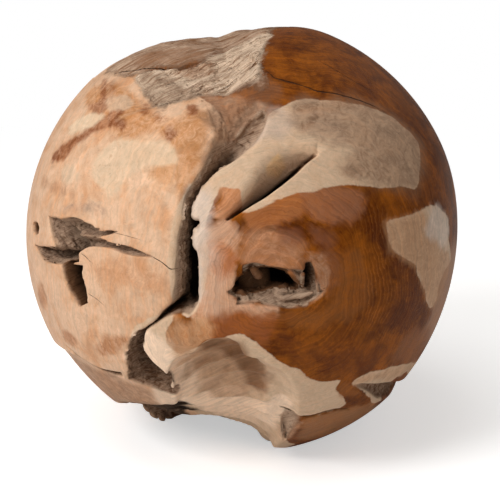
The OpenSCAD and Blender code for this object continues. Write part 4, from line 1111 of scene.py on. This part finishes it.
class Graph:
    """Short way to write a node tree."""

    def __init__(self, name: str) -> None:
        """Start an empty material."""
        self.material = bpy.data.materials.new(name)
        self.material.use_nodes = True
        self.tree = self.material.node_tree
        self.tree.nodes.clear()

    def node(self, kind: str, inputs: dict, out: int | str = 0, **settings: object) -> bpy.types.NodeSocket:
        """Add a node.

        Args:
            kind: Blender's type of the node, without its first word.
            inputs: sockets or values by the input's name or number.
            out: which output to return.
            settings: the node's own properties.
        """
        node = self.tree.nodes.new("ShaderNode" + kind)
        for key, value in settings.items():
            setattr(node, key, value)
        for key, value in inputs.items():
            if isinstance(value, bpy.types.NodeSocket):
                self.tree.links.new(value, node.inputs[key])
            else:
                node.inputs[key].default_value = value
        return node.outputs[out]

    def field(self, name: str) -> bpy.types.NodeSocket:
        """A number that each vertex carries."""
        return self.node("Attribute", {}, "Fac", attribute_name=name)

    def math(self, how: str, *values: object) -> bpy.types.NodeSocket:
        """Arithmetic on one to three numbers."""
        return self.node("Math", dict(enumerate(values)), operation=how)

    def sum(self, a: object, a_share: float, b: object, b_share: float) -> bpy.types.NodeSocket:
        """Two numbers added, each times its own share."""
        return self.math("MULTIPLY_ADD", a, a_share, self.math("MULTIPLY", b, b_share))

    def step(self, x: object, low: float, high: float, start: float = 0.0, end: float = 1.0) -> bpy.types.NodeSocket:
        """Smooth step of x from start at low to end at high."""
        return self.node("MapRange", {0: x, 1: low, 2: high, 3: start, 4: end}, interpolation_type="SMOOTHSTEP")

    def blend(self, share: object, a: object, b: object, how: str = "MIX") -> bpy.types.NodeSocket:
        """Colour a turning into b as the share goes from 0 to 1."""
        a, b = (c if isinstance(c, bpy.types.NodeSocket) else (*c, 1.0) for c in (a, b))
        return self.node("Mix", {0: share, 6: a, 7: b}, 2, data_type="RGBA", blend_type=how)

    def lerp(self, share: object, a: object, b: object) -> bpy.types.NodeSocket:
        """Number a turning into b as the share goes from 0 to 1."""
        return self.node("Mix", {0: share, 2: a, 3: b}, 0, data_type="FLOAT")

    def noise(self, at: object, detail: float = 3.0, rough: float = 0.5, distort: float = 0.0) -> bpy.types.NodeSocket:
        """Noise from 0 to 1 whose blobs are one unit of the given place."""
        return self.node(
            "TexNoise", {"Vector": at, "Scale": 1.0, "Detail": detail, "Roughness": rough, "Distortion": distort}
        )

    def place(self, x: object, y: object, z: object) -> bpy.types.NodeSocket:
        """Place made of three numbers."""
        return self.node("CombineXYZ", {0: x, 1: y, 2: z})

    def scaled(self, at: object, *sizes: float) -> bpy.types.NodeSocket:
        """Place times one size, or times one for each axis."""
        size = sizes if len(sizes) == 3 else sizes * 3
        return self.node("VectorMath", {0: at, 1: size}, operation="MULTIPLY")


@dataclass(frozen=True)
class RootWood:
    """Oiled teak root: its colours, from display values, among them the near-black painted shade deep in the hollows,
    and its gloss.
    """

    tan: Colour = srgb(217, 180, 149)
    tan_deep: Colour = srgb(202, 150, 110)
    heart: Colour = srgb(144, 78, 14)
    heart_dark: Colour = srgb(88, 38, 0)
    heart_pale: Colour = srgb(176, 116, 64)
    cream: Colour = srgb(218, 188, 158)
    cream_grey: Colour = srgb(176, 142, 112)
    grey: Colour = srgb(228, 202, 176)
    grey_dark: Colour = srgb(112, 84, 62)
    brown: Colour = srgb(128, 92, 66)
    crest: Colour = srgb(224, 194, 168)
    wall: Colour = srgb(84, 58, 42)
    wall_pale: Colour = srgb(190, 162, 138)
    wall_deep_shade: Colour = srgb(22, 13, 8)
    wall_warm: Colour = srgb(126, 86, 58)
    fissure: Colour = srgb(44, 26, 16)
    gloss: float = 0.46
    raw_gloss: float = 0.85

    def build(self) -> bpy.types.Material:
        """Make the procedural material."""
        g = Graph("oiled_teak_root")
        at = g.scaled(g.node("TexCoord", {}, "Object"), 1 / MM)
        x, y, z = (g.node("SeparateXYZ", {0: at}, k) for k in range(3))
        fine = g.noise(g.scaled(at, 0.35), 3.0)
        patchy = g.noise(g.scaled(at, 0.06), 3.0, 0.55)
        cloud = g.noise(g.scaled(at, 0.035), 4.0, 0.6, 0.6)
        edge = g.math("MULTIPLY_ADD", fine, 3.0, -1.5)

        def inside(name: str, soft: float, wave: float = 1.0) -> bpy.types.NodeSocket:
            """Share of a zone, with an edge that is soft and uneven by so many mm."""
            return g.step(g.math("MULTIPLY_ADD", edge, wave, g.field(name)), -soft, soft)

        def along(across: float, length: float) -> bpy.types.NodeSocket:
            """Place in the grain: so fine across the rings and so fine along them."""
            return g.place(
                g.math("MULTIPLY", ring, across), g.math("MULTIPLY", x, length),
                g.math("MULTIPLY_ADD", z, length, g.math("MULTIPLY", y, 1.15 * length)),
            )

        is_tan = inside("tan", 1.2)
        is_old = inside("weathered", 2.5, 1.8)
        is_cream = inside("cream", 0.9, 0.7)
        is_crest = inside("crest", 4.0, 4.0)
        old = g.math("MAXIMUM", is_old, is_crest)
        ring = g.lerp(is_tan, g.field("ring_right"), g.field("ring_left"))
        ring = g.math("MULTIPLY_ADD", patchy, 5.0, g.math("MULTIPLY_ADD", cloud, 16.0, ring))
        ring = g.lerp(inside("scooped", 4.0, 1.0), ring, g.field("ring_scoop"))
        ring = g.lerp(old, ring, g.math("MULTIPLY_ADD", patchy, 5.0, g.field("ring_top")))
        ring = g.lerp(g.step(g.field("raw"), 0.3, 0.9), ring, g.field("ring_scoop"))
        streak = g.noise(along(0.42, 0.012), 5.0, 0.62)
        fibre = g.noise(along(1.6, 0.06), 3.0, 0.6)
        swirl = g.noise(g.scaled(at, 0.05), 5.0, 0.6, 1.2)
        flake = g.noise(g.scaled(at, 0.1), 6.0, 0.72, 1.6)
        turn = g.math("FRACT", g.math("MULTIPLY", g.math("MULTIPLY_ADD", streak, 3.0, ring), 1 / 4.2))
        line = g.math("MULTIPLY", g.step(turn, 0.55, 0.92), g.step(turn, 0.93, 1.0, 1.0, 0.0))

        tan = g.blend(g.step(g.sum(cloud, 0.9, streak, 0.35), 0.5, 0.85), self.tan, self.tan_deep)
        mottle = g.math("MULTIPLY_ADD", cloud, 0.95, g.sum(streak, 0.3, flake, 0.3))
        heart = g.blend(g.step(mottle, 0.56, 0.98), self.heart_dark, self.heart)
        wood = g.blend(is_tan, heart, tan)

        def layered(wood: bpy.types.NodeSocket, name: str) -> bpy.types.NodeSocket:
            """Wood with one set of its colour layers, painted shade and a painted highlight among them."""
            grain = g.step(g.sum(flake, 0.6, swirl, 0.5), 0.42, 0.68)
            kept = g.math("SUBTRACT", 1.0, g.math("MULTIPLY", g.field(name + "_broken"), grain))
            share = g.math("MULTIPLY", g.field(name + "_cover"), kept)
            tint = g.node("Attribute", {}, "Color", attribute_name=name + "_colour")
            share = g.math("MULTIPLY_ADD", g.math("SUBTRACT", swirl, 0.5), g.math("MULTIPLY", share, 0.5), share)
            return g.blend(share, wood, tint)

        wood = layered(wood, "low")
        cream = g.blend(g.step(g.sum(swirl, 0.7, streak, 0.5), 0.45, 0.9, 0.0, 0.85), self.cream, self.cream_grey)
        wood = g.blend(is_cream, wood, cream)
        crest = g.blend(g.step(g.sum(cloud, 0.5, streak, 0.9), 0.5, 0.85), self.crest, self.brown)
        crest = g.blend(g.step(g.sum(flake, 0.5, fibre, 0.5), 0.42, 0.62, 0.0, 0.6), crest, self.grey_dark)
        wood = g.blend(g.math("MULTIPLY", is_crest, 0.92), wood, crest)
        torn = g.blend(g.step(g.sum(fibre, 0.6, streak, 0.6), 0.5, 0.8), self.grey, self.grey_dark)
        torn = g.blend(g.step(patchy, 0.5, 0.75, 0.0, 0.25), torn, self.grey_dark)
        wood = g.blend(g.math("MULTIPLY", is_old, 0.96), wood, torn)
        wood = layered(wood, "high")

        shown = g.math("MULTIPLY", inside("ringed", 12.0, 4.0), g.step(swirl, 0.35, 0.6, 0.35, 1.0))
        faint = g.math("MAXIMUM", shown, g.step(g.noise(g.scaled(at, 0.03), 2.0), 0.4, 0.65, 0.0, 0.45))
        shade = g.lerp(g.math("MAXIMUM", is_cream, is_tan), 0.22, 0.09)
        shade = g.math("MULTIPLY", g.math("MULTIPLY", line, faint), shade)
        wood = g.blend(shade, wood, self.heart_dark, "MULTIPLY")
        lit = g.math("MULTIPLY", g.step(turn, 0.1, 0.25), g.step(turn, 0.25, 0.42, 1.0, 0.0))
        lit = g.math("MULTIPLY", g.math("MULTIPLY", lit, shown), g.lerp(g.math("MAXIMUM", is_cream, is_tan), 0.26, 0.0))
        wood = g.blend(lit, wood, self.heart_pale)
        wood = g.blend(g.step(fibre, 0.45, 0.75, 0.0, 0.25), wood, self.tan_deep, "MULTIPLY")
        uneven = g.math("MULTIPLY_ADD", flake, 0.55, g.math("MULTIPLY_ADD", streak, 0.8, g.sum(swirl, 0.6, fibre, 0.3)))
        amount = g.lerp(is_tan, g.lerp(is_cream, 1.25, 1.1), 0.85)
        uneven = g.math("MULTIPLY_ADD", g.math("SUBTRACT", uneven, 1.125), amount, 1.0)
        wood = g.node("VectorMath", {0: wood, "Scale": uneven}, operation="SCALE")

        raw, deep = g.field("raw"), g.field("deep")
        ash = g.sum(flake, 0.7, fibre, 0.6)
        light = g.step(g.math("MULTIPLY_ADD", g.field("pale"), 0.5, ash), 0.68, 0.94)
        walls = g.blend(light, self.wall, self.wall_pale)
        walls = g.blend(g.step(g.field("pale"), 0.15, 0.4, 0.7, 0.1), walls, self.wall_warm)
        walls = g.blend(g.step(fibre, 0.45, 0.7, 0.0, 0.6), walls, self.brown, "MULTIPLY")
        # Painted shade: the raw walls turn near black with depth below the ground ball, starting sooner where pale is
        # low.
        walls = g.blend(g.step(g.math("MULTIPLY_ADD", g.field("pale"), -14.0, deep), 4.0, 28.0), walls, self.wall_deep_shade)
        bare = g.step(g.math("MULTIPLY_ADD", patchy, 8.0, deep), 4.0, 10.0, 0.3, 1.0)
        wood = g.blend(g.math("MULTIPLY", raw, bare), wood, walls)

        half = g.math("MULTIPLY_ADD", fine, 0.9, g.math("SUBTRACT", g.field("check_half"), 0.5))
        gap = g.step(g.math("SUBTRACT", half, g.math("ABSOLUTE", g.field("check_side"))), -0.35, 0.35)
        wood = g.blend(gap, wood, self.fissure)

        pores = g.step(g.noise(along(3.2, 0.2), 2.0, 0.5), 0.6, 0.72)
        wood = g.blend(g.math("MULTIPLY", pores, 0.22), wood, self.heart_dark, "MULTIPLY")

        worn = g.math("MAXIMUM", raw, old)
        height = g.math("MULTIPLY_ADD", fibre, g.lerp(worn, 0.18, 0.9), g.math("MULTIPLY", line, -0.04))
        height = g.math("MULTIPLY_ADD", pores, -0.08, height)
        height = g.math("MULTIPLY_ADD", gap, -1.2, height)
        height = g.math("MULTIPLY_ADD", streak, g.lerp(worn, 0.1, 1.2), height)
        rough = g.math("MULTIPLY_ADD", streak, 0.12, self.gloss - 0.06)
        dull = g.math("MAXIMUM", raw, g.math("MULTIPLY", old, 0.7))
        rough = g.math("MULTIPLY_ADD", dull, self.raw_gloss - self.gloss, rough)

        shader = g.tree.nodes.new("ShaderNodeBsdfPrincipled")
        shader.inputs["Specular IOR Level"].default_value = 0.16
        shader.inputs["Specular Tint"].default_value = (1.0, 0.74, 0.48, 1.0)
        bump = g.tree.nodes.new("ShaderNodeBump")
        bump.inputs["Strength"].default_value = 0.8
        bump.inputs["Distance"].default_value = 1.0 * MM
        g.tree.links.new(height, bump.inputs["Height"])
        g.tree.links.new(bump.outputs[0], shader.inputs["Normal"])
        g.tree.links.new(wood, shader.inputs["Base Color"])
        g.tree.links.new(rough, shader.inputs["Roughness"])
        out = g.tree.nodes.new("ShaderNodeOutputMaterial")
        g.tree.links.new(shader.outputs[0], out.inputs[0])
        return g.material


@dataclass
class BallPiece:
    """The whole ball as one mesh with its figure and its finish."""

    triangles: int = 192_000
    finish: RootWood = RootWood()

    def mesh(self, skin: Skin) -> bpy.types.Object:
        """Mesh the field and thin it out where it is smooth."""
        points, quads = skin.build()
        mesh = bpy.data.meshes.new("root_ball_wood")
        mesh.from_pydata(((points + CENTRE) * MM).tolist(), [], quads.tolist())
        piece = bpy.data.objects.new("root_ball_wood", mesh)
        bpy.context.scene.collection.objects.link(piece)
        keep_largest(mesh)
        thin = piece.modifiers.new("thin", "DECIMATE")
        thin.ratio = self.triangles / (2.0 * len(mesh.polygons))
        depsgraph = bpy.context.evaluated_depsgraph_get()
        done = bpy.data.meshes.new_from_object(piece.evaluated_get(depsgraph))
        piece.modifiers.clear()
        piece.data = done
        bpy.data.meshes.remove(mesh)
        done.name = "root_ball_wood"
        return piece

    def dress(self, piece: bpy.types.Object, ball: RootBall, figure: Figure) -> None:
        """Draw the vertices onto the field, give them its normals and its figure, and add the finish."""
        mesh = piece.data
        count = len(mesh.vertices)
        flat = np.empty(count * 3, np.float32)
        mesh.vertices.foreach_get("co", flat)
        p = flat.reshape(-1, 3).astype(float) / MM - CENTRE
        floor = p[:, 2] < -MIDDLE_H + 0.05
        normal = np.zeros_like(p)
        for turn in range(2):
            d, _ = ball.distance(p)
            for k in range(3):
                shift = np.zeros(3)
                shift[k] = 0.35
                normal[:, k] = (ball.distance(p + shift)[0] - ball.distance(p - shift)[0]) / 0.7
            size = np.maximum(np.linalg.norm(normal, axis=1, keepdims=True), 0.3)
            if turn == 0:
                move = -np.clip(d, -0.8, 0.8)[:, None] * normal / size**2
                move[floor, 2] = 0.0
                p += move
        normal /= size
        p[:, 2] = np.maximum(p[:, 2], -MIDDLE_H)
        mesh.vertices.foreach_set("co", ((p + CENTRE) * MM).astype(np.float32).ravel())
        mesh.update()
        for name, values in figure.fields(p, ball.distance(p)[1]).items():
            if values.ndim == 2:
                field = mesh.attributes.new(name, "FLOAT_COLOR", "POINT")
                field.data.foreach_set("color", np.column_stack([values, np.ones(count)]).astype(np.float32).ravel())
            else:
                field = mesh.attributes.new(name, "FLOAT", "POINT")
                field.data.foreach_set("value", np.ascontiguousarray(values, np.float32))
        mesh.polygons.foreach_set("use_smooth", np.ones(len(mesh.polygons), bool))
        mesh.normals_split_custom_set_from_vertices(normal.astype(np.float32).tolist())
        mesh.materials.append(self.finish.build())

    def build(self) -> bpy.types.Object:
        """Make the ball.

        Returns:
            The finished piece, in metres in the frame of the CAD model.
        """
        ball = RootBall(Noise())
        piece = self.mesh(Skin(ball))
        self.dress(piece, ball, Figure(ball))
        return piece


def keep_largest(mesh: bpy.types.Mesh) -> None:
    """Remove crumbs that hang on nothing, so that one closed surface is left."""
    count = len(mesh.vertices)
    edges = np.empty(len(mesh.edges) * 2, np.int32)
    mesh.edges.foreach_get("vertices", edges)
    a, b = edges.reshape(-1, 2).T
    label = np.arange(count)
    while True:
        low = np.minimum(label[a], label[b])
        new = label.copy()
        np.minimum.at(new, a, low)
        np.minimum.at(new, b, low)
        new = new[new]
        if (new == label).all():
            break
        label = new
    body = np.bincount(label, minlength=count).argmax()
    loose = np.nonzero(label != body)[0]
    if len(loose):
        work = bmesh.new()
        work.from_mesh(mesh)
        work.verts.ensure_lookup_table()
        bmesh.ops.delete(work, geom=[work.verts[i] for i in loose], context="VERTS")
        work.to_mesh(mesh)
        work.free()


@dataclass
class Studio:
    """Plain pale floor, soft lamps and the camera."""

    lens: float = 171.862
    stand: tuple[float, float, float] = (5.714, -2096.682, 666.426)
    look_down: float = 18.0

    def camera(self) -> None:
        """Camera at the viewing height, a little to the right of the ball's middle."""
        data = bpy.data.cameras.new("camera")
        data.lens, data.sensor_width, data.sensor_fit = self.lens, 36.0, "HORIZONTAL"
        data.clip_end = 60.0
        camera = bpy.data.objects.new("camera", data)
        camera.location = Vector((CENTRE + np.array(self.stand)) * MM)
        camera.rotation_euler = (math.radians(90.0 - self.look_down), 0.0, 0.0)
        bpy.context.scene.collection.objects.link(camera)
        bpy.context.scene.camera = camera

    def lamp(self, name: str, at: tuple[float, float, float], size: float, power: float) -> None:
        """Square soft lamp that faces the ball; places and size in metres."""
        data = bpy.data.lights.new(name, "AREA")
        data.shape, data.size, data.energy = "SQUARE", size, power
        lamp = bpy.data.objects.new(name, data)
        lamp.location = at
        way = Vector(tuple(CENTRE * MM)) - Vector(at)
        lamp.rotation_euler = way.to_track_quat("-Z", "Y").to_euler()
        bpy.context.scene.collection.objects.link(lamp)

    def light(self) -> None:
        """Large key lamp on the left, a weak one on the right and an even pale world."""
        self.lamp("key", (-2.2, -1.75, 2.2), 1.5, 73.0)
        self.lamp("front", (0.4, -3.2, 1.2), 2.2, 9.0)
        self.lamp("top", (-0.5, -0.4, 2.7), 1.6, 22.0)
        self.lamp("back", (1.6, 1.6, 1.6), 1.4, 3.0)
        world = bpy.data.worlds.new("studio")
        world.use_nodes = True
        tree = world.node_tree
        tree.nodes.clear()
        seen = tree.nodes.new("ShaderNodeBackground")
        seen.inputs[0].default_value = (1.0, 1.0, 1.0, 1.0)
        seen.inputs[1].default_value = 1.0
        lit = tree.nodes.new("ShaderNodeBackground")
        lit.inputs[0].default_value = (1.0, 0.93, 0.85, 1.0)
        lit.inputs[1].default_value = 0.24
        path = tree.nodes.new("ShaderNodeLightPath")
        mix = tree.nodes.new("ShaderNodeMixShader")
        out = tree.nodes.new("ShaderNodeOutputWorld")
        tree.links.new(path.outputs["Is Camera Ray"], mix.inputs[0])
        tree.links.new(lit.outputs[0], mix.inputs[1])
        tree.links.new(seen.outputs[0], mix.inputs[2])
        tree.links.new(mix.outputs[0], out.inputs[0])
        bpy.context.scene.world = world

    def floor(self) -> bpy.types.Object:
        """Pale floor that keeps the ball's shadow and fades to white at a distance."""
        mesh = bpy.data.meshes.new("floor")
        s = 12.0
        mesh.from_pydata([(-s, -s, 0.0), (s, -s, 0.0), (s, s, 0.0), (-s, s, 0.0)], [], [(0, 1, 2, 3)])
        floor = bpy.data.objects.new("floor", mesh)
        bpy.context.scene.collection.objects.link(floor)
        g = Graph("pale_floor")
        shade = g.tree.nodes.new("ShaderNodeBsdfDiffuse")
        shade.inputs["Color"].default_value = (0.86, 0.86, 0.86, 1.0)
        lift = g.tree.nodes.new("ShaderNodeEmission")
        lift.inputs["Color"].default_value = (1.0, 1.0, 1.0, 1.0)
        white = g.tree.nodes.new("ShaderNodeEmission")
        white.inputs["Color"].default_value = (1.0, 1.0, 1.0, 1.0)
        white.inputs["Strength"].default_value = 1.0
        path = g.tree.nodes.new("ShaderNodeLightPath")
        seen = path.outputs["Is Camera Ray"]
        g.tree.links.new(g.math("MULTIPLY", seen, 0.5), lift.inputs["Strength"])
        near = g.tree.nodes.new("ShaderNodeAddShader")
        g.tree.links.new(shade.outputs[0], near.inputs[0])
        g.tree.links.new(lift.outputs[0], near.inputs[1])
        reach = g.node("VectorMath", {0: g.node("NewGeometry", {}, "Position")}, "Value", operation="LENGTH")
        fade = g.tree.nodes.new("ShaderNodeMixShader")
        g.tree.links.new(g.math("MULTIPLY", seen, g.step(reach, 0.35, 1.1)), fade.inputs[0])
        g.tree.links.new(near.outputs[0], fade.inputs[1])
        g.tree.links.new(white.outputs[0], fade.inputs[2])
        out = g.tree.nodes.new("ShaderNodeOutputMaterial")
        g.tree.links.new(fade.outputs[0], out.inputs[0])
        mesh.materials.append(g.material)
        return floor


def main() -> None:
    """Build the ball and its studio, and say what was made."""
    logging.basicConfig(level=logging.INFO, format="%(name)s: %(message)s")
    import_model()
    view = bpy.context.scene.view_settings
    view.view_transform = "Standard"
    studio = Studio()
    studio.camera()
    studio.light()
    studio.floor()
    log.info("studio built")
    piece = BallPiece().build()
    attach(piece, "root")
    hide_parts("root_ball")
    triangles = sum(len(face.vertices) - 2 for face in piece.data.polygons)
    log.info("ball: %d vertices, %d triangles", len(piece.data.vertices), triangles)


if __name__ == "__main__":
    main()
